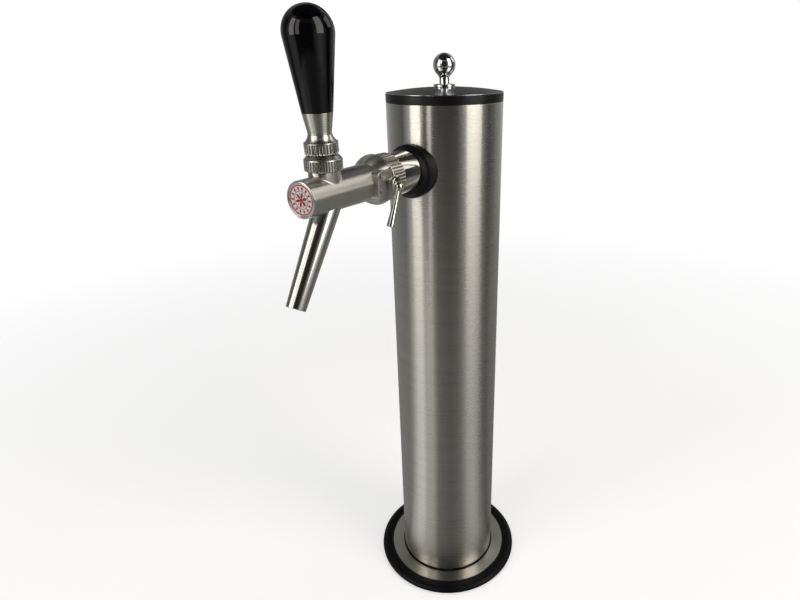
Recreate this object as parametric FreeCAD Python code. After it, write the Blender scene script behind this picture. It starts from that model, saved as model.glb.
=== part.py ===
import FreeCAD, Part
import math
import os

# Beer tower: one steel column on a round flange, one pouring tap with a flow control.
# Millimetres. Z is up, the origin is on the column's axis at its underside, and the tap points along -Y.

# Shared clearances
SLIDE_GAP = 0.1
RUNNING_GAP = 0.05
LOOSE_GAP = 0.3
SEAM = 0.6
OVERCUT = 1.0
STUD_END_BREAK = 1.0
SOCKET_RELIEF = 1.0
HEX_SIDES = 6
FACE_MATCH = 0.01

# Straight flutes, as shares of one flute's pitch
FLUTE_CREST_END = 0.42
FLUTE_ROOT_START = 0.58
FLUTE_ROOT_END = 0.84

# Base
FLANGE_R = 64.6
FLANGE_T = 6.2
FLANGE_EDGE_BREAK = 0.4
FLANGE_OPENING_R = 32.0
FLANGE_STEP_W = 0.5
FLANGE_STEP_H = 2.2
FLANGE_STEP_BREAK = 0.3
TONGUE_W = 8.0
TONGUE_T = 2.6
TONGUE_Z = 1.8
EDGE_RING_W = 12.2
EDGE_RING_H = 7.6
EDGE_RING_SIDE_H = 3.4
EDGE_RING_LIP = 1.1
EDGE_RING_FOOT = 2.2
SPIGOT_H = 12.0
SPIGOT_WALL = 4.0
BOLT_PCD = 80.0
BOLT_COUNT = 4
BOLT_HOLE_R = 3.4

# Column
COLUMN_R = 50.8
COLUMN_WALL = 1.5
COLUMN_LENGTH = 492.9
TAP_BELOW_TOP = 50.5

# Cap
CAP_OVERHANG = 0.1
CAP_RING_H = 7.0
CAP_SPIGOT_WALL = 3.3
CAP_SPIGOT_H = 12.0
CAP_SPIGOT_GAP = 0.4
CAP_RING_ROUND = 0.8
LID_INSET = 0.3
LID_EDGE = 0.6
LID_RISE = 4.7
LID_T = 1.2
KNOB_BALL_R = 9.6
KNOB_BALL_H = 17.4
KNOB_STEM_R = 4.25
KNOB_NECK_R = 5.9
KNOB_NECK_H = 9.0
KNOB_FLANGE_R = 9.35
KNOB_FLANGE_T = 2.1
KNOB_FLANGE_BREAK = 0.4
KNOB_STUD_R = 3.0
KNOB_NUT_FLATS = 10.0
KNOB_NUT_T = 5.0
KNOB_WASHER_R = 9.0
KNOB_WASHER_T = 1.2
KNOB_STUD_TAIL = 1.5

# Shank through the column's wall; distances along the tap are from the column's axis
COLLAR_R = 17.0
COLLAR_BREAK = 0.7
COLLAR_LENGTH = 21.8
SHANK_THREAD_R = 10.5
SHANK_TAIL_AT = 22.0
SHANK_BORE_R = 5.0
SHANK_MOUTH_R = 7.2
SHANK_MOUTH_DEPTH = 11.0
FRONT_THREAD_R = 14.1
FRONT_THREAD_LENGTH = 6.4
SADDLE_R = 22.0
SADDLE_DROP = 1.5
SADDLE_EDGE = 8.2
SADDLE_BEVEL = 2.0
SADDLE_CROWN = 12.0
SADDLE_NOSE_R = 17.8
INNER_SADDLE_R = 16.0
INNER_SADDLE_T = 9.3
LOCKNUT_FLATS = 32.0
LOCKNUT_T = 8.0
COUPLING_GASKET_T = 0.8
COUPLING_GASKET_BORE_R = 10.5

# Line inside the column
LINE_AT = 6.0
PIPE_R = 5.0
PIPE_BORE_R = 3.9
PIPE_END_Z = 3.0
PUSH_END_R = 4.76
PUSH_END_LENGTH = 22.0
ELBOW_R = 7.5
ELBOW_BORE_R = 3.4
ELBOW_FLANGE_R = 9.8
ELBOW_FLANGE_T = 4.5
ELBOW_DROP = 22.0
ELBOW_THREAD_LENGTH = 8.0
PIPE_SOCKET = 11.0
TAIL_GASKET_T = 0.8
TAIL_NUT_FLATS = 26.0
TAIL_NUT_LENGTH = 13.0
TAIL_NUT_LIP = 3.0
OLIVE_H = 4.0
OLIVE_BREAK = 1.0
PIPE_NUT_FLATS = 20.0
PIPE_NUT_LIP = 4.0

# Coupling nut
NUT_R = 18.2
NUT_LENGTH = 14.6
NUT_LIP = 2.7
NUT_BREAK = 0.8
NUT_FLUTES = 44
NUT_FLUTE_DEPTH = 0.55

# Tap body; lengths along it are from its rear face
BARREL_REAR_R = 13.8
BARREL_FRONT_R = 12.8
BODY_LENGTH = 87.0
BARREL_EDGE = 0.7
BELLY_R = 19.2
BELLY_LENGTH = 2.6
BELLY_SHOULDER = 9.3
BELLY_BOW = 0.7
BELLY_REAR_BREAK = 0.8
BODY_FLANGE_T = 3.1
BODY_BORE_R = 10.5
SEAT_DEPTH = 37.2
SEAT_T = 2.4
SEAT_HOLE_R = 5.8
CHAMBER_R = 8.5
CHAMBER_AHEAD = 16.4
BADGE_RECESS_R = 11.4
BADGE_RECESS_DEPTH = 1.3
BEZEL_W = 0.55
BEZEL_T = 1.0
BADGE_T = 0.7

# Spout, set from the tap body's rear face
SPOUT_FOOT = 57.2
SPOUT_ANGLE = 31.6
SPOUT_LENGTH = 85.2
SPOUT_TOP_R = 9.85
SPOUT_TIP_R = 7.0
SPOUT_TOP_BORE_R = 7.4
SPOUT_TIP_BORE_R = 5.4
SPOUT_LIP = 0.5

# Pour handle; heights are from its pivot, which is set from the tap body's rear face
HANDLE_FOOT = 62.8
PIVOT_H = 17.0
HANDLE_LEAN = 2.2
BALL_R = 7.0
STEM_R = 3.2
STEM_THREAD_R = 4.0
STEM_THREAD_LENGTH = 18.0
ARM_R = 1.8
ARM_BALL_R = 3.2
NECK_R = 10.9
NECK_H = 15.7
NECK_THREAD_R = 10.1
NECK_THREAD_H = 4.4
SEAT_RING_R = 9.0
SEAT_RING_LOW = 0.5
SEAT_RING_HIGH = 3.4
ARM_HOLE_R = 7.6
BONNET_R = 13.1
BONNET_KNURL_H = 7.6
BONNET_BREAK = 0.9
BONNET_CONE_H = 2.6
BONNET_TOP_R = 10.8
BONNET_MOUTH_R = 9.4
BONNET_THROAT_R = 6.7
BONNET_FLUTES = 39
BONNET_FLUTE_DEPTH = 0.6
COLLAR_RING_R = 11.5
COLLAR_RING_BOTTOM = 10.4
COLLAR_RING_KNURL_H = 7.6
COLLAR_RING_BREAK = 0.7
COLLAR_RING_FLARE_H = 4.8
COLLAR_FLARE_BOW = 1.0
COLLAR_HOLLOW_R = 15.25
COLLAR_FLUTES = 30
COLLAR_FLUTE_DEPTH = 0.6
FERRULE_WAIST_R = 8.0
FERRULE_TOP_R = 10.3
FERRULE_H = 13.9
FERRULE_WAIST_H = 1.2
FERRULE_STUD_R = 4.0
FERRULE_STUD_H = 18.0
GRIP_LENGTH = 63.9
GRIP_BALL_R = 16.5

# Piston
GUIDE_LENGTH = 6.0
PISTON_END_GAP = 1.4
PISTON_BODY_R = 5.5
PISTON_BODY_BEHIND = 8.5
PISTON_SLOT_TOP = 2.2
PISTON_FLAT_AHEAD = 5.5
ROD_R = 3.2
ROD_THREAD_R = 2.2
SHUTOFF_R = 7.4
SHUTOFF_T = 4.0
SHUTOFF_WASHER_R = 5.5
SHUTOFF_WASHER_T = 1.0
PISTON_NUT_FLATS = 7.0
PISTON_NUT_T = 3.0
PISTON_THREAD_TAIL = 1.0
RING_GROOVE_W = 1.8
RING_GROOVE_DEPTH = 1.4
RING_SPACING = 3.0

# Flow control on the +X side; lengths along the tap are from its stem
FLOW_DEPTH = 12.3
FLOW_PLATE_FACE = 17.4
FLOW_PLATE_T = 1.8
FLOW_PLATE_AHEAD = 14.7
FLOW_PLATE_BEHIND = 3.2
FLOW_PLATE_TOP = 10.0
FLOW_PLATE_BOTTOM = -12.4
FLOW_PLATE_CORNER = 4.0
FLOW_PLATE_ROUND = 0.7
BOSS_INSET = 0.4
SCREW_AHEAD = 12.5
SCREW_HIGH = 6.0
SCREW_LOW = -5.2
SCREW_HEAD_R = 1.7
SCREW_SHAFT_R = 1.0
SCREW_LENGTH = 5.0
SCREW_SLOT_W = 0.6
SCREW_SLOT_DEPTH = 0.5
SCREW_SINK = 0.3
FLOW_STEM_R = 2.0
FLOW_STEP_R = 3.7
FLOW_RING_R = 3.0
FLOW_RING_T = 1.8
FLOW_RING_BELOW_PLATE = 0.4
HUB_R = 5.3
HUB_BASE = 19.9
HUB_T = 3.9
HUB_BREAK = 0.5
ECCENTRIC_OFFSET = 1.5
ECCENTRIC_R = 1.1
ECCENTRIC_TIP = 5.9
CHEEK_RIM = 0.2
CHEEK_T = 0.6
STEM_INNER_END = 9.6
LEVER_BALL_R = 3.7
LEVER_BALL_FACE = 25.5
LEVER_BALL_OFFSET = 2.2
LEVER_LEAN = 24.0
LEVER_LENGTH = 30.2
LEVER_ROOT_R = 1.4
LEVER_TIP_R = 2.95
LEVER_TIP_BREAK = 0.4

# Compensator
CONE_R = 8.2
CONE_TIP_R = 4.2
CONE_TAPER_LENGTH = 13.5
CONE_SHOULDER_AHEAD = -3.0
CONE_GUIDE_R = 10.3
CONE_GUIDE_T = 2.4
CONE_HEAD_LENGTH = 3.2
CONE_GROOVE_DEPTH = 2.9
CONE_NOTCH_R = 3.0
CONE_NOTCHES = 6
SLEEVE_LENGTH = 5.2
SLEEVE_GAP = 1.1

# Places worked out from the sizes above
COLUMN_BORE_R = COLUMN_R - COLUMN_WALL
COLUMN_FOOT = FLANGE_T + FLANGE_STEP_H
COLUMN_TOP = COLUMN_FOOT + COLUMN_LENGTH
FLANGE_STEP_R = COLUMN_R + FLANGE_STEP_W
TAP_HEIGHT = COLUMN_TOP - TAP_BELOW_TOP
EDGE_RING_R = FLANGE_R + EDGE_RING_W
CAP_RING_R = COLUMN_R + CAP_OVERHANG
CAP_SPIGOT_R = COLUMN_BORE_R - CAP_SPIGOT_GAP
CAP_RING_BORE_R = CAP_SPIGOT_R - CAP_SPIGOT_WALL
LID_R = CAP_RING_R - LID_INSET
LID_BASE = COLUMN_TOP + CAP_RING_H
LID_APEX = LID_BASE + LID_RISE
SADDLE_FRONT_AT = COLUMN_R + SADDLE_CROWN
COLLAR_FRONT_AT = SADDLE_FRONT_AT + COLLAR_LENGTH
FRONT_THREAD_AT = COLLAR_FRONT_AT + FRONT_THREAD_LENGTH
BODY_REAR_AT = FRONT_THREAD_AT + COUPLING_GASKET_T
BARREL_FRONT_AT = BODY_REAR_AT + BODY_LENGTH
SEAT_AT = BODY_REAR_AT + SEAT_DEPTH
SPOUT_FOOT_AT = BODY_REAR_AT + SPOUT_FOOT
HANDLE_AT = BODY_REAR_AT + HANDLE_FOOT
CHAMBER_END_AT = HANDLE_AT + CHAMBER_AHEAD
GUIDE_FRONT_AT = CHAMBER_END_AT - PISTON_END_GAP
FLOW_AT = BODY_REAR_AT + FLOW_DEPTH
FLOW_PLATE_FRONT_AT = FLOW_AT + FLOW_PLATE_AHEAD
FLOW_PLATE_REAR_AT = FLOW_AT - FLOW_PLATE_BEHIND
SCREW_AT = FLOW_AT + SCREW_AHEAD
NUT_REAR_AT = COLLAR_FRONT_AT + SEAM
NUT_FRONT_AT = NUT_REAR_AT + NUT_LENGTH
NUT_BORE_R = FRONT_THREAD_R + SLIDE_GAP
NUT_LIP_AT = NUT_FRONT_AT - NUT_LIP
SPIGOT_R = FRONT_THREAD_R - BODY_FLANGE_T / 2
BODY_FLANGE_AT = BODY_REAR_AT + BODY_FLANGE_T
BELLY_REAR_AT = NUT_FRONT_AT + LOOSE_GAP
BELLY_FRONT_AT = BELLY_REAR_AT + BELLY_LENGTH
BARREL_REAR_AT = BELLY_FRONT_AT + BELLY_SHOULDER
SEAT_FRONT_AT = SEAT_AT + SEAT_T
BADGE_FLOOR_AT = BARREL_FRONT_AT - BADGE_RECESS_DEPTH
NECK_TOP = NECK_H - PIVOT_H
BONNET_BOTTOM = NECK_TOP + LOOSE_GAP
BONNET_KNURL_TOP = BONNET_BOTTOM + BONNET_KNURL_H
BONNET_TOP = BONNET_KNURL_TOP + BONNET_CONE_H
COLLAR_KNURL_TOP = COLLAR_RING_BOTTOM + COLLAR_RING_KNURL_H
FERRULE_BOTTOM = COLLAR_KNURL_TOP + COLLAR_RING_FLARE_H
GRIP_BOTTOM = FERRULE_BOTTOM + FERRULE_H
FLOW_BODY_FACE = FLOW_PLATE_FACE - FLOW_PLATE_T
FULL_TURN = 360.0


def line(start, end):
    """Straight edge in the r-h plane."""
    points = [FreeCAD.Vector(point[0], 0, point[1]) for point in (start, end)]
    return Part.LineSegment(*points).toShape()


def arc(start, middle, end):
    """Arc in the r-h plane through three points."""
    points = [FreeCAD.Vector(point[0], 0, point[1]) for point in (start, middle, end)]
    return Part.Arc(*points).toShape()


def turned(outline):
    """Solid of revolution about Z. Each step is the next (r, h), or a pair (on the arc, end of the arc)."""
    edges = []
    here = outline[0]
    for step in outline[1:] + [outline[0]]:
        if isinstance(step[0], tuple):
            edges.append(arc(here, step[0], step[1]))
            here = step[1]
        elif step != here:
            edges.append(line(here, step))
            here = step
    face = Part.Face(Part.Wire(edges))
    solid = face.revolve(FreeCAD.Vector(0, 0, 0), FreeCAD.Vector(0, 0, 1), FULL_TURN)
    return solid if solid.isValid() and solid.Volume > 0 else Part.Solid(solid.reversed())


def disc(radius, low, high, centre=(0.0, 0.0)):
    """Plain cylinder along Z between two heights."""
    return Part.makeCylinder(radius, high - low, FreeCAD.Vector(centre[0], centre[1], low))


def tube(outer, inner, low, high):
    """Plain round tube along Z."""
    return disc(outer, low, high).cut(disc(inner, low - OVERCUT, high + OVERCUT))


def box(low, high):
    """Box between two corners."""
    size = [high[i] - low[i] for i in range(3)]
    return Part.makeBox(size[0], size[1], size[2], FreeCAD.Vector(*low))


def side_cylinder(radius, low, high, up, along):
    """Cylinder along X in the tap's frame, at a height above its axis and a distance along it."""
    return Part.makeCylinder(radius, high - low, FreeCAD.Vector(low, up, along), FreeCAD.Vector(1, 0, 0))


def hexagon(flats, bore, low, high):
    """Hexagonal nut along Z with chamfered corners."""
    corner = flats / 2 / math.cos(math.pi / HEX_SIDES)
    points = []
    for i in range(HEX_SIDES + 1):
        angle = math.radians(FULL_TURN * i / HEX_SIDES)
        points.append(FreeCAD.Vector(corner * math.cos(angle), corner * math.sin(angle), low))
    prism = Part.Face(Part.makePolygon(points)).extrude(FreeCAD.Vector(0, 0, high - low))
    chamfer = corner - flats / 2
    envelope = turned([
        (0, low),
        (corner - chamfer, low),
        (corner, low + chamfer / 2),
        (corner, high - chamfer / 2),
        (corner - chamfer, high),
        (0, high),
    ])
    return prism.common(envelope).cut(disc(bore, low - OVERCUT, high + OVERCUT))


def fluted(solid, radius, depth, count, low, high):
    """Keep a solid's rim only inside a fluted outline, so that straight flutes run along Z."""
    root = radius - depth
    pitch = ((0.0, radius), (FLUTE_CREST_END, radius), (FLUTE_ROOT_START, root), (FLUTE_ROOT_END, root))
    points = []
    for i in range(count):
        for share, reach in pitch:
            angle = math.radians(FULL_TURN * (i + share) / count)
            points.append(FreeCAD.Vector(reach * math.cos(angle), reach * math.sin(angle), low))
    points.append(points[0])
    prism = Part.Face(Part.makePolygon(points)).extrude(FreeCAD.Vector(0, 0, high - low))
    blank = disc(radius + OVERCUT, low, high).cut(prism)
    return solid.cut(blank)


def on_tap(shape):
    """Place a shape drawn in the tap's frame: X to the side, Y up, Z along the tap from the column's axis."""
    placed = shape.copy()
    placed.rotate(FreeCAD.Vector(0, 0, 0), FreeCAD.Vector(1, 0, 0), 90)
    placed.translate(FreeCAD.Vector(0, 0, TAP_HEIGHT))
    return placed


def at_pivot(shape, lean=0.0):
    """Place a shape drawn about the handle's pivot, leaning forward by an angle."""
    placed = shape.copy()
    placed.rotate(FreeCAD.Vector(0, 0, 0), FreeCAD.Vector(1, 0, 0), lean)
    placed.translate(FreeCAD.Vector(0, -HANDLE_AT, TAP_HEIGHT + PIVOT_H))
    return placed


def on_spout(shape):
    """Place a shape drawn along the spout's axis, whose Z runs from the barrel's axis to the tip."""
    placed = shape.copy()
    placed.rotate(FreeCAD.Vector(0, 0, 0), FreeCAD.Vector(1, 0, 0), 180 - SPOUT_ANGLE)
    placed.translate(FreeCAD.Vector(0, -SPOUT_FOOT_AT, TAP_HEIGHT))
    return placed


def column_skin(radius):
    """Upright cylinder on the column's axis around the tap's height."""
    reach = 2 * SADDLE_R
    return disc(radius, TAP_HEIGHT - reach, TAP_HEIGHT + reach)


def base_flange():
    tongue_r = FLANGE_R + TONGUE_W
    spigot_r = COLUMN_BORE_R - SLIDE_GAP
    plate = turned([
        (FLANGE_OPENING_R, 0),
        (FLANGE_R, 0),
        (FLANGE_R, TONGUE_Z),
        (tongue_r, TONGUE_Z),
        (tongue_r, TONGUE_Z + TONGUE_T),
        (FLANGE_R, TONGUE_Z + TONGUE_T),
        (FLANGE_R, FLANGE_T - FLANGE_EDGE_BREAK),
        (FLANGE_R - FLANGE_EDGE_BREAK, FLANGE_T),
        (FLANGE_STEP_R, FLANGE_T),
        (FLANGE_STEP_R, COLUMN_FOOT - FLANGE_STEP_BREAK),
        (FLANGE_STEP_R - FLANGE_STEP_BREAK, COLUMN_FOOT),
        (spigot_r, COLUMN_FOOT),
        (spigot_r, COLUMN_FOOT + SPIGOT_H),
        (spigot_r - SPIGOT_WALL, COLUMN_FOOT + SPIGOT_H),
        (spigot_r - SPIGOT_WALL, FLANGE_T),
        (FLANGE_OPENING_R, FLANGE_T),
    ])
    for i in range(BOLT_COUNT):
        angle = math.radians(FULL_TURN * (i + 0.5) / BOLT_COUNT)
        centre = (BOLT_PCD / 2 * math.cos(angle), BOLT_PCD / 2 * math.sin(angle))
        plate = plate.cut(disc(BOLT_HOLE_R, -OVERCUT, FLANGE_T + OVERCUT, centre))
    return plate


def base_edge_ring():
    inner = FLANGE_R + SLIDE_GAP
    groove = FLANGE_R + TONGUE_W + SLIDE_GAP
    crown = (inner + EDGE_RING_R) / 2
    lip_top = FLANGE_T + EDGE_RING_LIP / 2
    swell = (EDGE_RING_R - crown) * math.sqrt(0.5)
    rise = (EDGE_RING_H - EDGE_RING_SIDE_H) * math.sqrt(0.5)
    return turned([
        (inner, 0),
        (EDGE_RING_R - EDGE_RING_FOOT, 0),
        (EDGE_RING_R, EDGE_RING_FOOT),
        (EDGE_RING_R, EDGE_RING_SIDE_H),
        ((crown + swell, EDGE_RING_SIDE_H + rise), (crown, EDGE_RING_H)),
        (inner + EDGE_RING_LIP, lip_top + EDGE_RING_LIP / 2),
        (inner, lip_top - EDGE_RING_LIP / 2),
        (inner, TONGUE_Z + TONGUE_T + SLIDE_GAP),
        (groove, TONGUE_Z + TONGUE_T + SLIDE_GAP),
        (groove, TONGUE_Z - SLIDE_GAP),
        (inner, TONGUE_Z - SLIDE_GAP),
    ])


def column_tube():
    shell = tube(COLUMN_R, COLUMN_BORE_R, COLUMN_FOOT, COLUMN_TOP)
    hole = on_tap(disc(SHANK_THREAD_R + SEAM, COLUMN_BORE_R / 2, COLUMN_R + OVERCUT))
    return shell.cut(hole)


def cap_ring():
    return turned([
        (CAP_RING_BORE_R, COLUMN_TOP - CAP_SPIGOT_H),
        (CAP_SPIGOT_R, COLUMN_TOP - CAP_SPIGOT_H),
        (CAP_SPIGOT_R, COLUMN_TOP),
        (CAP_RING_R - CAP_RING_ROUND / 2, COLUMN_TOP),
        (CAP_RING_R, COLUMN_TOP + CAP_RING_ROUND),
        (CAP_RING_R, LID_BASE - CAP_RING_ROUND),
        (CAP_RING_R - CAP_RING_ROUND / 2, LID_BASE),
        (CAP_RING_BORE_R, LID_BASE),
    ])


def lid_height(radius, rim_r, base, apex):
    """Height of the lid's round surface at a radius, from its rim and its apex."""
    rise = apex - base
    sphere = (rim_r * rim_r + rise * rise) / (2 * rise)
    return apex - sphere + math.sqrt(sphere * sphere - radius * radius)


def lid_arc(rim_r, base, apex):
    """Middle point of the lid's arc from its rim to its apex."""
    middle = rim_r / 2
    return (middle, lid_height(middle, rim_r, base, apex))


def knob_washer_top():
    """Height at which the washer's rim meets the underside of the lid."""
    return lid_height(KNOB_WASHER_R, LID_R - LID_T, LID_BASE, LID_APEX - LID_T)


def cap_lid():
    rim = LID_BASE + LID_EDGE
    inner_r = LID_R - LID_T
    inner_apex = LID_APEX - LID_T
    shell = turned([
        (0, inner_apex),
        (lid_arc(inner_r, LID_BASE, inner_apex), (inner_r, LID_BASE)),
        (LID_R, LID_BASE),
        (LID_R, rim),
        (lid_arc(LID_R, rim, LID_APEX), (0, LID_APEX)),
    ])
    return shell.cut(disc(KNOB_STUD_R + SLIDE_GAP, LID_BASE, LID_APEX + OVERCUT))


def cap_knob():
    flange_top = LID_APEX + KNOB_FLANGE_T
    centre = LID_APEX + KNOB_BALL_H
    stud_end = knob_washer_top() - KNOB_WASHER_T - KNOB_NUT_T - KNOB_STUD_TAIL
    neck = centre - math.sqrt(KNOB_BALL_R ** 2 - KNOB_NECK_R ** 2)
    return turned([
        (0, stud_end),
        (KNOB_STUD_R, stud_end),
        (KNOB_STUD_R, LID_APEX),
        (KNOB_FLANGE_R - KNOB_FLANGE_BREAK, LID_APEX),
        (KNOB_FLANGE_R, LID_APEX + KNOB_FLANGE_BREAK),
        (KNOB_FLANGE_R, flange_top - KNOB_FLANGE_BREAK),
        (KNOB_FLANGE_R - KNOB_FLANGE_BREAK, flange_top),
        (KNOB_STEM_R, flange_top),
        (KNOB_STEM_R, LID_APEX + KNOB_NECK_H - KNOB_NECK_R + KNOB_STEM_R),
        (KNOB_NECK_R, neck),
        ((KNOB_BALL_R, centre), (0, centre + KNOB_BALL_R)),
    ])


def knob_washer():
    top = knob_washer_top()
    return tube(KNOB_WASHER_R, KNOB_STUD_R + SLIDE_GAP, top - KNOB_WASHER_T, top)


def knob_nut():
    top = knob_washer_top() - KNOB_WASHER_T
    return hexagon(KNOB_NUT_FLATS, KNOB_STUD_R + RUNNING_GAP, top - KNOB_NUT_T, top)


def saddle_washer():
    edge_at = COLUMN_R + SADDLE_EDGE
    bore_r = SHANK_THREAD_R + SADDLE_DROP + LOOSE_GAP
    blank = turned([
        (bore_r, COLUMN_R / 2),
        (SADDLE_R, COLUMN_R / 2),
        (SADDLE_R, edge_at - SADDLE_BEVEL),
        (SADDLE_R - SADDLE_BEVEL, edge_at),
        (SADDLE_NOSE_R, SADDLE_FRONT_AT),
        (bore_r, SADDLE_FRONT_AT),
    ])
    blank.translate(FreeCAD.Vector(0, -SADDLE_DROP, 0))
    return on_tap(blank).cut(column_skin(COLUMN_R + RUNNING_GAP))


def shank():
    blank = turned([
        (SHANK_BORE_R, SHANK_TAIL_AT),
        (SHANK_THREAD_R - COLLAR_BREAK, SHANK_TAIL_AT),
        (SHANK_THREAD_R, SHANK_TAIL_AT + COLLAR_BREAK),
        (SHANK_THREAD_R, SADDLE_FRONT_AT),
        (COLLAR_R - COLLAR_BREAK, SADDLE_FRONT_AT),
        (COLLAR_R, SADDLE_FRONT_AT + COLLAR_BREAK),
        (COLLAR_R, COLLAR_FRONT_AT - COLLAR_BREAK),
        (COLLAR_R - COLLAR_BREAK, COLLAR_FRONT_AT),
        (FRONT_THREAD_R, COLLAR_FRONT_AT),
        (FRONT_THREAD_R, FRONT_THREAD_AT),
        (SHANK_MOUTH_R, FRONT_THREAD_AT),
        (SHANK_MOUTH_R, FRONT_THREAD_AT - SHANK_MOUTH_DEPTH),
        (SHANK_BORE_R, FRONT_THREAD_AT - SHANK_MOUTH_DEPTH),
    ])
    return on_tap(blank)


def inner_saddle():
    back = COLUMN_BORE_R - INNER_SADDLE_T
    blank = on_tap(tube(INNER_SADDLE_R, SHANK_THREAD_R + LOOSE_GAP, back, COLUMN_R))
    return blank.common(column_skin(COLUMN_BORE_R - RUNNING_GAP))


def shank_locknut():
    front = COLUMN_BORE_R - INNER_SADDLE_T
    return on_tap(hexagon(LOCKNUT_FLATS, SHANK_THREAD_R + RUNNING_GAP, front - LOCKNUT_T, front))


def tail_gasket():
    return on_tap(tube(ELBOW_FLANGE_R, SHANK_BORE_R, SHANK_TAIL_AT - TAIL_GASKET_T, SHANK_TAIL_AT))


def tail_nut():
    flange_back = SHANK_TAIL_AT - TAIL_GASKET_T - ELBOW_FLANGE_T
    low = flange_back - TAIL_NUT_LIP
    nut = hexagon(TAIL_NUT_FLATS, ELBOW_R + LOOSE_GAP, low, low + TAIL_NUT_LENGTH)
    return on_tap(nut.cut(disc(SHANK_THREAD_R + RUNNING_GAP, flange_back, low + TAIL_NUT_LENGTH + OVERCUT)))


def tail_elbow():
    flange_front = SHANK_TAIL_AT - TAIL_GASKET_T
    flange_back = flange_front - ELBOW_FLANGE_T
    bend_at = FreeCAD.Vector(0, 0, LINE_AT)
    downward = FreeCAD.Vector(0, -1, 0)
    level = disc(ELBOW_R, LINE_AT, flange_front).fuse(disc(ELBOW_FLANGE_R, flange_back, flange_front))
    down = Part.makeCylinder(ELBOW_R, ELBOW_DROP, bend_at, downward)
    corner = Part.makeSphere(ELBOW_R, bend_at)
    bore = disc(ELBOW_BORE_R, LINE_AT, flange_front + OVERCUT)
    down_bore = Part.makeCylinder(ELBOW_BORE_R, ELBOW_DROP + OVERCUT, bend_at, downward)
    bend = Part.makeSphere(ELBOW_BORE_R, bend_at)
    socket_start = FreeCAD.Vector(0, PIPE_SOCKET - ELBOW_DROP, LINE_AT)
    socket = Part.makeCylinder(PIPE_R + RUNNING_GAP, PIPE_SOCKET + OVERCUT, socket_start, downward)
    solid = level.fuse([down, corner]).removeSplitter()
    return on_tap(solid.cut(bore.fuse([down_bore, bend, socket])))


def at_line(shape):
    """Place a shape drawn down the line's axis, whose zero is the elbow's lower end."""
    placed = shape.copy()
    placed.translate(FreeCAD.Vector(0, -LINE_AT, TAP_HEIGHT - ELBOW_DROP))
    return placed


def pipe_olive():
    inner = PIPE_R + RUNNING_GAP
    outer = ELBOW_R - LOOSE_GAP
    return at_line(turned([
        (inner, -OLIVE_H),
        (outer - OLIVE_BREAK, -OLIVE_H),
        (outer, -OLIVE_H / 2),
        (outer - OLIVE_BREAK, 0),
        (inner, 0),
    ]))


def pipe_nut():
    low = -OLIVE_H - PIPE_NUT_LIP
    nut = hexagon(PIPE_NUT_FLATS, PIPE_R + LOOSE_GAP, low, ELBOW_THREAD_LENGTH)
    return at_line(nut.cut(disc(ELBOW_R + RUNNING_GAP, -OLIVE_H, ELBOW_THREAD_LENGTH + OVERCUT)))


def product_pipe():
    top = TAP_HEIGHT - ELBOW_DROP + PIPE_SOCKET
    shoulder = PIPE_END_Z + PUSH_END_LENGTH
    pipe = turned([
        (PIPE_BORE_R, PIPE_END_Z),
        (PUSH_END_R, PIPE_END_Z),
        (PUSH_END_R, shoulder),
        (PIPE_R, shoulder),
        (PIPE_R, top),
        (PIPE_BORE_R, top),
    ])
    pipe.translate(FreeCAD.Vector(0, -LINE_AT, 0))
    return pipe


def coupling_gasket():
    return on_tap(tube(FRONT_THREAD_R, COUPLING_GASKET_BORE_R, FRONT_THREAD_AT, BODY_REAR_AT))


def coupling_nut():
    blank = turned([
        (NUT_BORE_R, NUT_REAR_AT),
        (NUT_R - NUT_BREAK, NUT_REAR_AT),
        (NUT_R, NUT_REAR_AT + NUT_BREAK),
        (NUT_R, NUT_FRONT_AT - NUT_BREAK),
        (NUT_R - NUT_BREAK, NUT_FRONT_AT),
        (SPIGOT_R + SLIDE_GAP, NUT_FRONT_AT),
        (SPIGOT_R + SLIDE_GAP, NUT_LIP_AT),
        (NUT_BORE_R, NUT_LIP_AT),
    ])
    low = NUT_REAR_AT - OVERCUT
    high = NUT_FRONT_AT + OVERCUT
    return on_tap(fluted(blank, NUT_R, NUT_FLUTE_DEPTH, NUT_FLUTES, low, high))


def runs_sideways(edge):
    """True for an edge along X."""
    direction = edge.tangentAt(edge.FirstParameter)
    return abs(direction.x) > abs(direction.y) + abs(direction.z)


def flow_outline(inset, low, high):
    """Rounded rectangle of the flow control's plate, between two distances to the side."""
    bottom = FLOW_PLATE_BOTTOM + inset
    top = FLOW_PLATE_TOP - inset
    rear = FLOW_PLATE_REAR_AT + inset
    front = FLOW_PLATE_FRONT_AT - inset
    block = box((low, bottom, rear), (high, top, front))
    sideways = [edge for edge in block.Edges if runs_sideways(edge)]
    return block.makeFillet(FLOW_PLATE_CORNER - inset, sideways)


def screw_places():
    """Height above the tap's axis of each plate screw."""
    return (SCREW_HIGH, SCREW_LOW)


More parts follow.
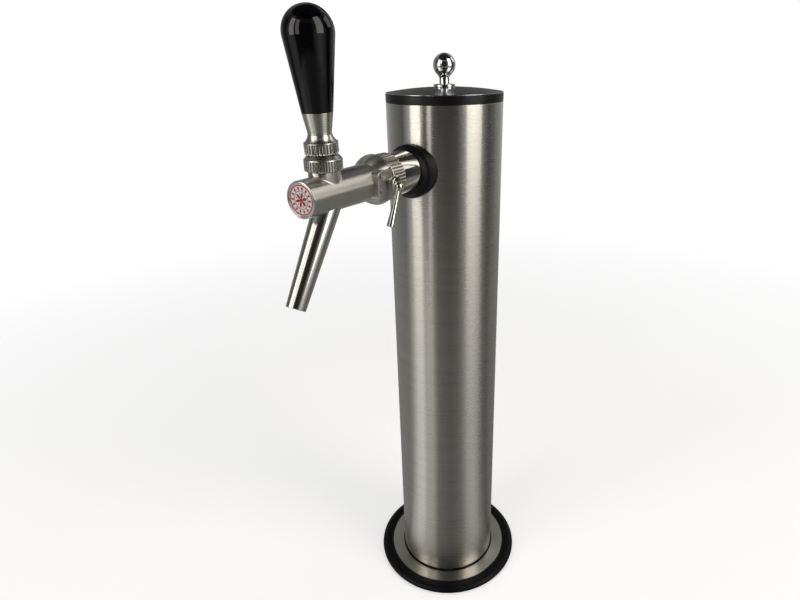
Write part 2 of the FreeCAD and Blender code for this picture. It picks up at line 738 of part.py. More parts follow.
def tap_body():
    fall = BELLY_R - BARREL_REAR_R
    slant = math.hypot(fall, BELLY_SHOULDER)
    shoulder_r = (BELLY_R + BARREL_REAR_R) / 2 + BELLY_BOW * BELLY_SHOULDER / slant
    shoulder_at = (BELLY_FRONT_AT + BARREL_REAR_AT) / 2 + BELLY_BOW * fall / slant
    outside = turned([
        (0, BODY_REAR_AT),
        (FRONT_THREAD_R, BODY_REAR_AT),
        (FRONT_THREAD_R, BODY_FLANGE_AT),
        (SPIGOT_R, BODY_FLANGE_AT),
        (SPIGOT_R, BELLY_REAR_AT),
        (BELLY_R - BELLY_REAR_BREAK, BELLY_REAR_AT),
        (BELLY_R, BELLY_REAR_AT + BELLY_REAR_BREAK),
        (BELLY_R, BELLY_FRONT_AT),
        ((shoulder_r, shoulder_at), (BARREL_REAR_R, BARREL_REAR_AT)),
        (BARREL_FRONT_R, BARREL_FRONT_AT - BARREL_EDGE),
        (BARREL_FRONT_R - BARREL_EDGE, BARREL_FRONT_AT),
        (0, BARREL_FRONT_AT),
    ])
    boss = flow_outline(BOSS_INSET, BELLY_R / 2, FLOW_BODY_FACE)
    flat_reach = 2 * BELLY_R
    flat = box(
        (FLOW_BODY_FACE, -flat_reach, BELLY_REAR_AT - LOOSE_GAP / 2),
        (flat_reach, flat_reach, BARREL_REAR_AT + flat_reach),
    )
    upward = FreeCAD.Vector(0, 1, 0)
    neck_start = FreeCAD.Vector(0, 0, HANDLE_AT)
    neck = Part.makeCylinder(NECK_R, NECK_H, neck_start, upward)
    thread_start = FreeCAD.Vector(0, NECK_H, HANDLE_AT)
    thread = Part.makeCylinder(NECK_THREAD_R, NECK_THREAD_H, thread_start, upward)
    solid = outside.cut(flat).fuse([boss, neck, thread])
    seat_floor = PIVOT_H - SEAT_RING_HIGH
    ring_start = FreeCAD.Vector(0, seat_floor, HANDLE_AT)
    ring_pocket = Part.makeCylinder(SEAT_RING_R, PIVOT_H, ring_start, upward)
    arm_hole = Part.makeCylinder(ARM_HOLE_R, PIVOT_H, neck_start, upward)
    hollows = [
        disc(BODY_BORE_R, BODY_REAR_AT - OVERCUT, SEAT_AT),
        disc(SEAT_HOLE_R, SEAT_AT - OVERCUT, SEAT_FRONT_AT + OVERCUT),
        disc(CHAMBER_R, SEAT_FRONT_AT, CHAMBER_END_AT),
        disc(BADGE_RECESS_R, BADGE_FLOOR_AT, BARREL_FRONT_AT + OVERCUT),
        ring_pocket,
        arm_hole,
        side_cylinder(FLOW_STEM_R + RUNNING_GAP, 0, BELLY_R, 0, FLOW_AT),
        side_cylinder(FLOW_RING_R + RUNNING_GAP, flow_ring_low(), BELLY_R, 0, FLOW_AT),
    ]
    for up in screw_places():
        depth = FLOW_PLATE_FACE - SCREW_SINK - SCREW_LENGTH
        hollows.append(side_cylinder(SCREW_SHAFT_R + RUNNING_GAP, depth, BELLY_R, up, SCREW_AT))
    body = on_tap(solid.cut(hollows[0].fuse(hollows[1:])))
    return body.cut(on_spout(spout_blank(SPOUT_LENGTH, SLIDE_GAP)))


def spout_radius(distance):
    """Outer radius of the spout at a distance from the barrel's axis."""
    return SPOUT_TOP_R + (SPOUT_TIP_R - SPOUT_TOP_R) * distance / SPOUT_LENGTH


def spout_bore_radius(distance):
    """Bore radius of the spout at a distance from the barrel's axis."""
    return SPOUT_TOP_BORE_R + (SPOUT_TIP_BORE_R - SPOUT_TOP_BORE_R) * distance / SPOUT_LENGTH


def spout_start():
    """Distance from the barrel's axis at which the spout leaves the chamber."""
    return CHAMBER_R + SPOUT_LIP


def spout_blank(length, clearance):
    """Outside of the spout from the chamber to a distance down it."""
    start = spout_start()
    return turned([
        (0, start),
        (spout_radius(start) + clearance, start),
        (spout_radius(length) + clearance, length),
        (0, length),
    ])


def spout():
    start = spout_start()
    tip = SPOUT_LENGTH
    tip_r = spout_radius(tip)
    outside = turned([
        (0, start),
        (spout_radius(start), start),
        (spout_radius(tip - SPOUT_LIP), tip - SPOUT_LIP),
        (tip_r - SPOUT_LIP, tip),
        (0, tip),
    ])
    bore_start = start - OVERCUT
    bore_end = tip + OVERCUT
    bore = turned([
        (0, bore_start),
        (spout_bore_radius(bore_start), bore_start),
        (spout_bore_radius(bore_end), bore_end),
        (0, bore_end),
    ])
    placed = on_spout(outside.cut(bore))
    return placed.cut(on_tap(disc(CHAMBER_R, SEAT_FRONT_AT, CHAMBER_END_AT)))


def badge_bezel():
    outer = BADGE_RECESS_R - RUNNING_GAP
    return on_tap(tube(outer, outer - BEZEL_W, BADGE_FLOOR_AT, BADGE_FLOOR_AT + BEZEL_T))


def badge():
    radius = BADGE_RECESS_R - RUNNING_GAP - BEZEL_W - RUNNING_GAP
    return on_tap(disc(radius, BADGE_FLOOR_AT, BADGE_FLOOR_AT + BADGE_T))


def ball_seat(low, high):
    """Ring with a round seat for the pivot ball, between two heights from the pivot."""
    ring = disc(SEAT_RING_R - RUNNING_GAP, low, high)
    return at_pivot(ring.cut(Part.makeSphere(BALL_R + RUNNING_GAP)))


def lower_seat():
    return ball_seat(-SEAT_RING_HIGH, -SEAT_RING_LOW)


def upper_seat():
    return ball_seat(SEAT_RING_LOW, SEAT_RING_HIGH)


def bonnet_nut():
    thread_r = NECK_THREAD_R + RUNNING_GAP
    blank = turned([
        (thread_r, BONNET_BOTTOM),
        (BONNET_R - BONNET_BREAK, BONNET_BOTTOM),
        (BONNET_R, BONNET_BOTTOM + BONNET_BREAK),
        (BONNET_R, BONNET_KNURL_TOP),
        (BONNET_TOP_R, BONNET_TOP),
        (BONNET_MOUTH_R, BONNET_TOP),
        (BONNET_THROAT_R, SEAT_RING_HIGH),
        (thread_r, SEAT_RING_HIGH),
    ])
    low = BONNET_BOTTOM - OVERCUT
    return at_pivot(fluted(blank, BONNET_R, BONNET_FLUTE_DEPTH, BONNET_FLUTES, low, BONNET_KNURL_TOP))


def lever_spindle():
    stem_top = COLLAR_HOLLOW_R
    thread_top = stem_top + STEM_THREAD_LENGTH
    upper = turned([
        (0, 0),
        (STEM_R, 0),
        (STEM_R, stem_top),
        (STEM_THREAD_R, stem_top),
        (STEM_THREAD_R, thread_top - STUD_END_BREAK),
        (STEM_THREAD_R - STUD_END_BREAK, thread_top),
        (0, thread_top),
    ])
    arm = disc(ARM_R, -PIVOT_H, 0)
    arm_ball = Part.makeSphere(ARM_BALL_R, FreeCAD.Vector(0, 0, -PIVOT_H))
    ball = Part.makeSphere(BALL_R)
    return at_pivot(upper, HANDLE_LEAN).fuse([at_pivot(arm), at_pivot(arm_ball), at_pivot(ball)])


def lever_collar():
    outside = turned([
        (STEM_THREAD_R + RUNNING_GAP, COLLAR_RING_BOTTOM),
        (COLLAR_RING_R - COLLAR_RING_BREAK, COLLAR_RING_BOTTOM),
        (COLLAR_RING_R, COLLAR_RING_BOTTOM + COLLAR_RING_BREAK),
        (COLLAR_RING_R, COLLAR_KNURL_TOP - COLLAR_RING_BREAK),
        (COLLAR_RING_R - COLLAR_RING_BREAK, COLLAR_KNURL_TOP),
        (
            (FERRULE_WAIST_R + COLLAR_FLARE_BOW, COLLAR_KNURL_TOP + COLLAR_RING_FLARE_H / 2),
            (FERRULE_WAIST_R, FERRULE_BOTTOM),
        ),
        (STEM_THREAD_R + RUNNING_GAP, FERRULE_BOTTOM),
    ])
    low = COLLAR_RING_BOTTOM - OVERCUT
    ring = fluted(outside, COLLAR_RING_R, COLLAR_FLUTE_DEPTH, COLLAR_FLUTES, low, COLLAR_KNURL_TOP)
    return at_pivot(ring.cut(Part.makeSphere(COLLAR_HOLLOW_R)), HANDLE_LEAN)


def handle_ferrule():
    stud_top = GRIP_BOTTOM + FERRULE_STUD_H
    waist = FERRULE_BOTTOM + FERRULE_WAIST_H
    socket_top = COLLAR_HOLLOW_R + STEM_THREAD_LENGTH + SOCKET_RELIEF
    outside = turned([
        (0, FERRULE_BOTTOM),
        (FERRULE_WAIST_R, FERRULE_BOTTOM),
        (FERRULE_WAIST_R, waist),
        (FERRULE_TOP_R, GRIP_BOTTOM),
        (FERRULE_STUD_R, GRIP_BOTTOM),
        (FERRULE_STUD_R, stud_top - STUD_END_BREAK),
        (FERRULE_STUD_R - STUD_END_BREAK, stud_top),
        (0, stud_top),
    ])
    return at_pivot(outside.cut(disc(STEM_THREAD_R + RUNNING_GAP, 0, socket_top)), HANDLE_LEAN)


def grip_tangent():
    """Point where the grip's straight taper meets its round end, and the height of the round end's centre."""
    centre = GRIP_BOTTOM + GRIP_LENGTH - GRIP_BALL_R
    reach = math.hypot(FERRULE_TOP_R, centre - GRIP_BOTTOM)
    towards = math.atan2(GRIP_BOTTOM - centre, FERRULE_TOP_R)
    angle = towards + math.acos(GRIP_BALL_R / reach)
    return angle, centre


def handle_grip():
    angle, centre = grip_tangent()
    half = (angle + math.pi / 2) / 2
    socket_top = GRIP_BOTTOM + FERRULE_STUD_H + SOCKET_RELIEF
    outside = turned([
        (0, GRIP_BOTTOM),
        (FERRULE_TOP_R, GRIP_BOTTOM),
        (GRIP_BALL_R * math.cos(angle), centre + GRIP_BALL_R * math.sin(angle)),
        (
            (GRIP_BALL_R * math.cos(half), centre + GRIP_BALL_R * math.sin(half)),
            (0, centre + GRIP_BALL_R),
        ),
    ])
    return at_pivot(outside.cut(disc(FERRULE_STUD_R + RUNNING_GAP, 0, socket_top)), HANDLE_LEAN)


def piston_rod():
    guide_rear = GUIDE_FRONT_AT - GUIDE_LENGTH
    guide_r = CHAMBER_R - SLIDE_GAP
    body_rear = HANDLE_AT - PISTON_BODY_BEHIND
    seal_rear = SEAT_AT - SHUTOFF_T
    thread_end = seal_rear - SHUTOFF_WASHER_T - PISTON_NUT_T - PISTON_THREAD_TAIL
    rod = turned([
        (0, thread_end),
        (ROD_THREAD_R, thread_end),
        (ROD_THREAD_R, SEAT_AT),
        (ROD_R, SEAT_AT),
        (ROD_R, body_rear),
        (PISTON_BODY_R, body_rear),
        (PISTON_BODY_R, guide_rear),
        (guide_r, guide_rear),
        (guide_r, GUIDE_FRONT_AT),
        (0, GUIDE_FRONT_AT),
    ])
    for groove in ring_places():
        groove_r = guide_r - RING_GROOVE_DEPTH
        groove_end = groove + RING_GROOVE_W
        rod = rod.cut(disc(guide_r + OVERCUT, groove, groove_end).cut(disc(groove_r, groove, groove_end)))
    slot_half = ARM_BALL_R + LOOSE_GAP
    slot = box(
        (-slot_half, -PISTON_BODY_R, HANDLE_AT - slot_half),
        (slot_half, PISTON_BODY_R + OVERCUT, HANDLE_AT + slot_half),
    )
    flat = box(
        (-PISTON_BODY_R, PISTON_SLOT_TOP, body_rear - OVERCUT),
        (PISTON_BODY_R, PISTON_BODY_R + OVERCUT, HANDLE_AT + PISTON_FLAT_AHEAD),
    )
    return on_tap(rod.cut(slot.fuse(flat)))


def ring_places():
    """Distance along the tap of each ring groove's rear edge."""
    middle = GUIDE_FRONT_AT - GUIDE_LENGTH / 2 - RING_GROOVE_W / 2
    return (middle - RING_SPACING / 2, middle + RING_SPACING / 2)


def piston_rings():
    outer = CHAMBER_R - RUNNING_GAP
    inner = CHAMBER_R - SLIDE_GAP - RING_GROOVE_DEPTH
    rings = [tube(outer, inner, place, place + RING_GROOVE_W) for place in ring_places()]
    return on_tap(Part.makeCompound(rings))


def shutoff_seal():
    return on_tap(tube(SHUTOFF_R, ROD_THREAD_R, SEAT_AT - SHUTOFF_T, SEAT_AT))


def shutoff_washer():
    high = SEAT_AT - SHUTOFF_T
    return on_tap(tube(SHUTOFF_WASHER_R, ROD_THREAD_R + RUNNING_GAP, high - SHUTOFF_WASHER_T, high))


def piston_nut():
    high = SEAT_AT - SHUTOFF_T - SHUTOFF_WASHER_T
    return on_tap(hexagon(PISTON_NUT_FLATS, ROD_THREAD_R + RUNNING_GAP, high - PISTON_NUT_T, high))


def flow_ring_low():
    """Distance to the side at which the stem's sealing ring lies."""
    return FLOW_BODY_FACE - FLOW_RING_BELOW_PLATE - FLOW_RING_T


def flow_plate():
    plate = flow_outline(0, FLOW_BODY_FACE, FLOW_PLATE_FACE)
    rim = [edge for edge in plate.Edges if edge.BoundBox.XMin > FLOW_PLATE_FACE - FACE_MATCH]
    plate = plate.makeFillet(FLOW_PLATE_ROUND, rim)
    hollows = [side_cylinder(FLOW_STEM_R + RUNNING_GAP, 0, BELLY_R, 0, FLOW_AT)]
    for up in screw_places():
        hollows.append(side_cylinder(SCREW_SHAFT_R + RUNNING_GAP, 0, BELLY_R, up, SCREW_AT))
        hollows.append(screw_head(up, RUNNING_GAP, FLOW_PLATE_FACE + OVERCUT))
    return on_tap(plate.cut(hollows[0].fuse(hollows[1:])))


def screw_head(up, clearance, top):
    """Countersunk head along X, with its face sunk a little below the plate's."""
    face = FLOW_PLATE_FACE - SCREW_SINK
    cone_depth = SCREW_HEAD_R - SCREW_SHAFT_R
    start = FreeCAD.Vector(face - cone_depth, up, SCREW_AT)
    cone = Part.makeCone(
        SCREW_SHAFT_R + clearance, SCREW_HEAD_R + clearance, cone_depth, start, FreeCAD.Vector(1, 0, 0)
    )
    if top <= face:
        return cone
    return cone.fuse(side_cylinder(SCREW_HEAD_R + clearance, face, top, up, SCREW_AT))


def plate_screws():
    face = FLOW_PLATE_FACE - SCREW_SINK
    screws = []
    for up in screw_places():
        shaft_top = face - (SCREW_HEAD_R - SCREW_SHAFT_R) / 2
        shaft = side_cylinder(SCREW_SHAFT_R, face - SCREW_LENGTH, shaft_top, up, SCREW_AT)
        screw = screw_head(up, 0, face).fuse(shaft)
        slot = box(
            (face - SCREW_SLOT_DEPTH, up - SCREW_SLOT_W / 2, SCREW_AT - SCREW_HEAD_R),
            (face + OVERCUT, up + SCREW_SLOT_W / 2, SCREW_AT + SCREW_HEAD_R),
        )
        screws.append(screw.cut(slot))
    return on_tap(Part.makeCompound(screws))


def flow_ring():
    low = flow_ring_low()
    ring = side_cylinder(FLOW_RING_R, low, low + FLOW_RING_T, 0, FLOW_AT)
    return on_tap(ring.cut(side_cylinder(FLOW_STEM_R + RUNNING_GAP, 0, BELLY_R, 0, FLOW_AT)))


def flow_hub():
    hub = side_cylinder(HUB_R, HUB_BASE, HUB_BASE + HUB_T, 0, FLOW_AT)
    rims = [edge for edge in hub.Edges if isinstance(edge.Curve, Part.Circle)]
    hub = hub.makeFillet(HUB_BREAK, rims)
    step = side_cylinder(FLOW_STEP_R, FLOW_PLATE_FACE + LOOSE_GAP, HUB_BASE + HUB_BREAK, 0, FLOW_AT)
    stem = side_cylinder(FLOW_STEM_R, STEM_INNER_END, HUB_BASE, 0, FLOW_AT)
    eccentric = side_cylinder(ECCENTRIC_R, ECCENTRIC_TIP, STEM_INNER_END, -ECCENTRIC_OFFSET, FLOW_AT)
    cheek_r = ECCENTRIC_OFFSET + ECCENTRIC_R + CHEEK_RIM
    cheek = side_cylinder(cheek_r, STEM_INNER_END - CHEEK_T, STEM_INNER_END, 0, FLOW_AT)
    return on_tap(hub.fuse([step, stem, cheek, eccentric]))


def flow_lever():
    lean = math.radians(LEVER_LEAN)
    up = -LEVER_BALL_OFFSET * math.cos(lean)
    along = FLOW_AT + LEVER_BALL_OFFSET * math.sin(lean)
    centre = FreeCAD.Vector(LEVER_BALL_FACE, up, along)
    towards = FreeCAD.Vector(0, -math.cos(lean), math.sin(lean))
    ball = Part.makeSphere(LEVER_BALL_R, centre)
    shaft_length = LEVER_LENGTH - LEVER_TIP_BREAK
    shaft = Part.makeCone(LEVER_ROOT_R, LEVER_TIP_R, shaft_length, centre, towards)
    tip_r = LEVER_TIP_R - LEVER_TIP_BREAK
    tip = Part.makeCone(LEVER_TIP_R, tip_r, LEVER_TIP_BREAK, centre + towards * shaft_length, towards)
    hub = side_cylinder(HUB_R + RUNNING_GAP, HUB_BASE, HUB_BASE + HUB_T, 0, FLOW_AT)
    return on_tap(ball.fuse([shaft, tip]).removeSplitter().cut(hub))


def cone_shoulder():
    """Distance along the tap at which the compensator's taper starts."""
    return FLOW_AT + CONE_SHOULDER_AHEAD


def compensator_cone():
    shoulder = cone_shoulder()
    groove_half = ECCENTRIC_R + LOOSE_GAP
    head_front = FLOW_AT + CONE_HEAD_LENGTH
    cone = turned([
        (0, shoulder - CONE_TAPER_LENGTH),
        (CONE_TIP_R, shoulder - CONE_TAPER_LENGTH),
        (CONE_R, shoulder),
        (CONE_R, FLOW_AT - groove_half),
        (CONE_R - CONE_GROOVE_DEPTH, FLOW_AT - groove_half),
        (CONE_R - CONE_GROOVE_DEPTH, FLOW_AT + groove_half),
        (CONE_R, FLOW_AT + groove_half),
        (CONE_R, head_front),
        (CONE_GUIDE_R, head_front),
        (CONE_GUIDE_R, head_front + CONE_GUIDE_T),
        (0, head_front + CONE_GUIDE_T),
    ])
    for i in range(CONE_NOTCHES):
        angle = math.radians(FULL_TURN * i / CONE_NOTCHES)
        centre = (CONE_GUIDE_R * math.cos(angle), CONE_GUIDE_R * math.sin(angle))
        cone = cone.cut(disc(CONE_NOTCH_R, head_front, head_front + CONE_GUIDE_T + OVERCUT, centre))
    return on_tap(cone)


def compensator_sleeve():
    slope = (CONE_R - CONE_TIP_R) / CONE_TAPER_LENGTH
    rear = BODY_REAR_AT
    front = rear + SLEEVE_LENGTH
    radii = [CONE_R - slope * (cone_shoulder() - at) + SLEEVE_GAP for at in (rear, front)]
    outer = BODY_BORE_R - RUNNING_GAP
    return on_tap(turned([(radii[0], rear), (outer, rear), (outer, front), (radii[1], front)]))


NODES = [
    base_flange,
    base_edge_ring,
    column_tube,
    cap_ring,
    cap_lid,
    cap_knob,
    knob_washer,
    knob_nut,
    saddle_washer,
    shank,
    inner_saddle,
    shank_locknut,
    tail_gasket,
    tail_nut,
    tail_elbow,
    pipe_olive,
    pipe_nut,
    product_pipe,
    coupling_gasket,
    coupling_nut,
    tap_body,
    spout,
    badge_bezel,
    badge,
    lower_seat,
    upper_seat,
    bonnet_nut,
    lever_spindle,
    lever_collar,
    handle_ferrule,
    handle_grip,
    piston_rod,
    piston_rings,
    shutoff_seal,
    shutoff_washer,
    piston_nut,
    flow_plate,
    plate_screws,
    flow_ring,
    flow_hub,
    flow_lever,
    compensator_cone,
    compensator_sleeve,
]


def main():
    os.makedirs("parts", exist_ok=True)
    for build_node in NODES:
        shape = build_node()
        if not shape.isValid():
            raise ValueError(build_node.__name__ + " is not a valid solid")
        shape.exportStep("parts/" + build_node.__name__ + ".step")
        print(build_node.__name__, len(shape.Solids), round(shape.Volume, 1))


main()
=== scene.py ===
import math

import bmesh
import bpy
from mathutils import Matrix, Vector

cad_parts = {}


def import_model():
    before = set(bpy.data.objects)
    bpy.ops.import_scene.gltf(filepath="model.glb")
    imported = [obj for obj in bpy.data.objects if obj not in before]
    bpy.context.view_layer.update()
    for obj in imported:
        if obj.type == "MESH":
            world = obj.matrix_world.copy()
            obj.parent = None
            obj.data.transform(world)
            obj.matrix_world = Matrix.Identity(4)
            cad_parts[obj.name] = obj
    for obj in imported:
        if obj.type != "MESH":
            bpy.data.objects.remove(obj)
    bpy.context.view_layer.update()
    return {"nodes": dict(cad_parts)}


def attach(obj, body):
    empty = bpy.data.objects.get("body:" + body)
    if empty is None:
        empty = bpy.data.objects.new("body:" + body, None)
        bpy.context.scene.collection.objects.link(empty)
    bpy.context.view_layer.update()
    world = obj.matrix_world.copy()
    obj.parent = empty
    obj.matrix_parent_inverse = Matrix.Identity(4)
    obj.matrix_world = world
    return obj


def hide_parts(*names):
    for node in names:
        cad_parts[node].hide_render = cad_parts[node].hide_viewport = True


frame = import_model()

# Beer tower: brushed steel column on a round base, with one pouring tap.
# Outlines are in millimetres as (radius, height, optional rounding); Blender's own lengths are metres.
MM = 0.001
TAP_HEIGHT = 450.8
PIVOT = (0.0, -154.6, 467.8)
HANDLE_LEAN = 2.2
SPOUT_FOOT = 149.0
SPOUT_LEAN = 180.0 - 31.6
FLOW_AT = 104.1
SCREW_AT = 116.6
SCREWS_UP = (6.0, -5.2)
LEVER_LEAN = 156.0
CORNER_SEGMENTS = 4
SAME_PLACE = 1e-6
FLUTE_STEPS = (0.0, 0.0, 0.0, 0.0, 0.15, 0.8, 1.0, 0.8)

NECK_AT = 154.6
NECK_R = 10.9
NECK_BLEND = 2.2
PATCH_REACH = 13.4
PATCH_ROWS = 26
PATCH_ANGLE = 64.0


# Drawing

def arc(centre, reach, start, end, steps):
    """Points of an arc beside the axis; angles are in degrees from level, and reach may be (radius, rise)."""
    wide, tall = reach if isinstance(reach, tuple) else (reach, reach)
    points = []
    for i in range(steps + 1):
        angle = math.radians(start + (end - start) * i / steps)
        points.append((centre[0] + wide * math.cos(angle), centre[1] + tall * math.sin(angle)))
    return points


def bowed(start, end, bow, steps):
    """Points of a line that swells by bow to its outer side, without its two ends."""
    run = (end[0] - start[0], end[1] - start[1])
    length = math.hypot(*run)
    points = []
    for i in range(1, steps):
        share = i / steps
        swell = 4 * bow * share * (1 - share) / length
        across = start[0] + run[0] * share + run[1] * swell
        along = start[1] + run[1] * share - run[0] * swell
        points.append((across, along))
    return points


def dome(radius, rim, apex, rim_radius):
    """Height of a shallow round dome at a radius."""
    rise = apex - rim
    sphere = (rim_radius ** 2 + rise ** 2) / (2 * rise)
    return apex - sphere + math.sqrt(sphere ** 2 - radius ** 2)


# Modelling

def choose(*pieces):
    """Select these pieces alone and make the first one active."""
    bpy.ops.object.select_all(action="DESELECT")
    for piece in pieces:
        piece.select_set(True)
    bpy.context.view_layer.objects.active = pieces[0]


def join(*pieces):
    """Make one piece of several, under the first one's name."""
    choose(*pieces)
    bpy.ops.object.join()
    return pieces[0]


def open_mesh(piece):
    """Start editing a piece's mesh."""
    bpy.context.view_layer.objects.active = piece
    bpy.ops.object.mode_set(mode="EDIT")


def close_mesh():
    """Turn every face of the edited mesh outward and stop editing."""
    bpy.ops.mesh.select_all(action="SELECT")
    bpy.ops.mesh.normals_make_consistent(inside=False)
    bpy.ops.object.mode_set(mode="OBJECT")


def select_points(piece, wanted):
    """Select exactly the vertices whose place, in millimetres, is wanted."""
    bpy.ops.mesh.select_all(action="DESELECT")
    mesh = bmesh.from_edit_mesh(piece.data)
    for point in mesh.verts:
        if wanted(point.co / MM):
            point.select = True
    mesh.select_flush_mode()
    bmesh.update_edit_mesh(piece.data)


def turned(name, outline, around=96, closed=True):
    """Draw an outline beside the Z axis point by point, round its corners and spin it."""
    bpy.ops.mesh.primitive_plane_add(size=MM, location=(outline[0][0] * MM, 0, outline[0][1] * MM))
    piece = bpy.context.object
    piece.name = name
    piece.data.name = name
    bpy.ops.object.transform_apply(location=True, rotation=True, scale=True)
    bpy.ops.object.mode_set(mode="EDIT")
    bpy.ops.mesh.select_all(action="SELECT")
    bpy.ops.mesh.merge(type="CENTER")
    here = outline[0]
    for step in outline[1:] + ([outline[0]] if closed else []):
        move = ((step[0] - here[0]) * MM, 0, (step[1] - here[1]) * MM)
        bpy.ops.mesh.extrude_vertices_move(TRANSFORM_OT_translate={"value": move})
        here = step
    for step in outline:
        if len(step) > 2:
            corner = Vector((step[0], 0, step[1]))
            select_points(piece, lambda place: (place - corner).length < 0.002)
            bpy.ops.mesh.bevel(
                offset_type="OFFSET", offset=step[2] * MM, segments=CORNER_SEGMENTS, affect="VERTICES"
            )
    bpy.ops.mesh.select_all(action="SELECT")
    bpy.ops.mesh.spin(steps=around, angle=math.tau, center=(0, 0, 0), axis=(0, 0, 1))
    bpy.ops.mesh.select_all(action="SELECT")
    bpy.ops.mesh.remove_doubles(threshold=SAME_PLACE)
    close_mesh()
    return piece


def slab(name, low, high):
    """Block between two corners."""
    size = [high[i] - low[i] for i in range(3)]
    middle = [(high[i] + low[i]) / 2 * MM for i in range(3)]
    bpy.ops.mesh.primitive_cube_add(size=MM, location=middle)
    piece = bpy.context.object
    piece.name = name
    piece.data.name = name
    piece.scale = size
    bpy.ops.object.transform_apply(location=True, rotation=True, scale=True)
    return piece


def bevel_edges(piece, wanted, width, segments):
    """Round the edges whose two ends, in millimetres, are wanted."""
    open_mesh(piece)
    bpy.ops.mesh.select_mode(type="EDGE")
    bpy.ops.mesh.select_all(action="DESELECT")
    mesh = bmesh.from_edit_mesh(piece.data)
    for edge in mesh.edges:
        if wanted(edge.verts[0].co / MM, edge.verts[1].co / MM):
            edge.select = True
    bmesh.update_edit_mesh(piece.data)
    bpy.ops.mesh.bevel(offset=width * MM, segments=segments, affect="EDGES")
    bpy.ops.mesh.select_mode(type="VERT")
    bpy.ops.object.mode_set(mode="OBJECT")


def cut_flutes(ring, count, radius, depth, low, high):
    """Press straight flutes into a ring's rim between two heights."""
    open_mesh(ring)
    steps = len(FLUTE_STEPS)
    for phase, share in enumerate(FLUTE_STEPS):
        if not share:
            continue

        def in_flute(place):
            if not low <= place.z <= high or math.hypot(place.x, place.y) < radius - depth:
                return False
            turn = math.atan2(place.y, place.x) % math.tau
            return round(turn / math.tau * count * steps) % steps == phase

        select_points(ring, in_flute)
        pull = (radius - depth * share) / radius
        bpy.ops.transform.resize(value=(pull, pull, 1), center_override=(0, 0, 0))
    bpy.ops.object.mode_set(mode="OBJECT")


def combine(piece, other, operation):
    """Cut another shape out of a piece, or weld it on, and use it up."""
    step = piece.modifiers.new("fit", "BOOLEAN")
    step.operation = operation
    step.solver = "EXACT"
    step.object = other
    choose(piece)
    bpy.ops.object.modifier_apply(modifier=step.name)
    bpy.data.objects.remove(other)


def turn_and_move(piece, tilt, place):
    """Tilt a piece about the X, Y and Z axes in degrees and move it in millimetres, in its mesh."""
    choose(piece)
    piece.rotation_euler = [math.radians(angle) for angle in tilt]
    piece.location = [distance * MM for distance in place]
    bpy.ops.object.transform_apply(location=True, rotation=True, scale=True)
    return piece


def on_tap(piece):
    """Place a shape drawn with X to the side, Y up and Z along the tap."""
    return turn_and_move(piece, (90, 0, 0), (0, 0, TAP_HEIGHT))


def on_handle(piece, lean=HANDLE_LEAN):
    """Place a shape drawn up from the handle's pivot."""
    return turn_and_move(piece, (lean, 0, 0), PIVOT)


def on_spout(piece):
    """Place a shape drawn down the spout from the barrel's axis."""
    return turn_and_move(piece, (SPOUT_LEAN, 0, 0), (0, -SPOUT_FOOT, TAP_HEIGHT))


def on_flow_stem(piece):
    """Place a shape drawn out along the flow control's stem."""
    return turn_and_move(piece, (0, 90, 0), (0, -FLOW_AT, TAP_HEIGHT))


def finish(piece, body, finishes, nodes, smooth=32.0):
    """Smooth a piece, give it its finish, and fix it to its moving body in place of its plain solids."""
    choose(piece)
    bpy.ops.object.shade_smooth_by_angle(angle=math.radians(smooth))
    step = piece.modifiers.new("even shading", "WEIGHTED_NORMAL")
    step.keep_sharp = True
    bpy.ops.object.modifier_apply(modifier=step.name)
    if not piece.data.materials:
        for material in finishes:
            piece.data.materials.append(material)
    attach(piece, body)
    if nodes:
        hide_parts(*nodes)
    return piece


# Finishes

def new_group(name, outputs, **inputs):
    """Shader node group read at a place, with its input and output nodes; inputs have first values."""
    group = bpy.data.node_groups.new(name, "ShaderNodeTree")
    group.interface.new_socket(name="Vector", in_out="INPUT", socket_type="NodeSocketVector")
    for label, value in inputs.items():
        kind = "NodeSocketColor" if isinstance(value, tuple) else "NodeSocketFloat"
        socket = group.interface.new_socket(name=label.replace("_", " "), in_out="INPUT", socket_type=kind)
        socket.default_value = value
    for label in outputs:
        kind = "NodeSocketColor" if label == "Colour" else "NodeSocketFloat"
        group.interface.new_socket(name=label, in_out="OUTPUT", socket_type=kind)
    return group, node(group, "NodeGroupInput"), node(group, "NodeGroupOutput")


def node(tree, kind, **settings):
    """New node with its settings."""
    made = tree.nodes.new(kind)
    for name, value in settings.items():
        setattr(made, name, value)
    return made


def noise(tree, place, scale, detail, roughness=0.55):
    """Noise texture read at a place; scale may be a number or a socket."""
    made = node(tree, "ShaderNodeTexNoise")
    tree.links.new(place, made.inputs["Vector"])
    if isinstance(scale, (int, float)):
        made.inputs["Scale"].default_value = scale
    else:
        tree.links.new(scale, made.inputs["Scale"])
    made.inputs["Detail"].default_value = detail
    made.inputs["Roughness"].default_value = roughness
    return made.outputs["Fac"]


def math_node(tree, operation, *values):
    """Math node on numbers or sockets."""
    made = node(tree, "ShaderNodeMath", operation=operation)
    for i, value in enumerate(values):
        if isinstance(value, (int, float)):
            made.inputs[i].default_value = value
        else:
            tree.links.new(value, made.inputs[i])
    return made.outputs[0]


def spread(tree, value, low, high, out_low=0.0, out_high=1.0):
    """Map Range node, clamped; its four limits may be numbers or sockets."""
    made = node(tree, "ShaderNodeMapRange")
    tree.links.new(value, made.inputs["Value"])
    limits = (("From Min", low), ("From Max", high), ("To Min", out_low), ("To Max", out_high))
    for label, limit in limits:
        if isinstance(limit, (int, float)):
            made.inputs[label].default_value = limit
        else:
            tree.links.new(limit, made.inputs[label])
    return made.outputs["Result"]


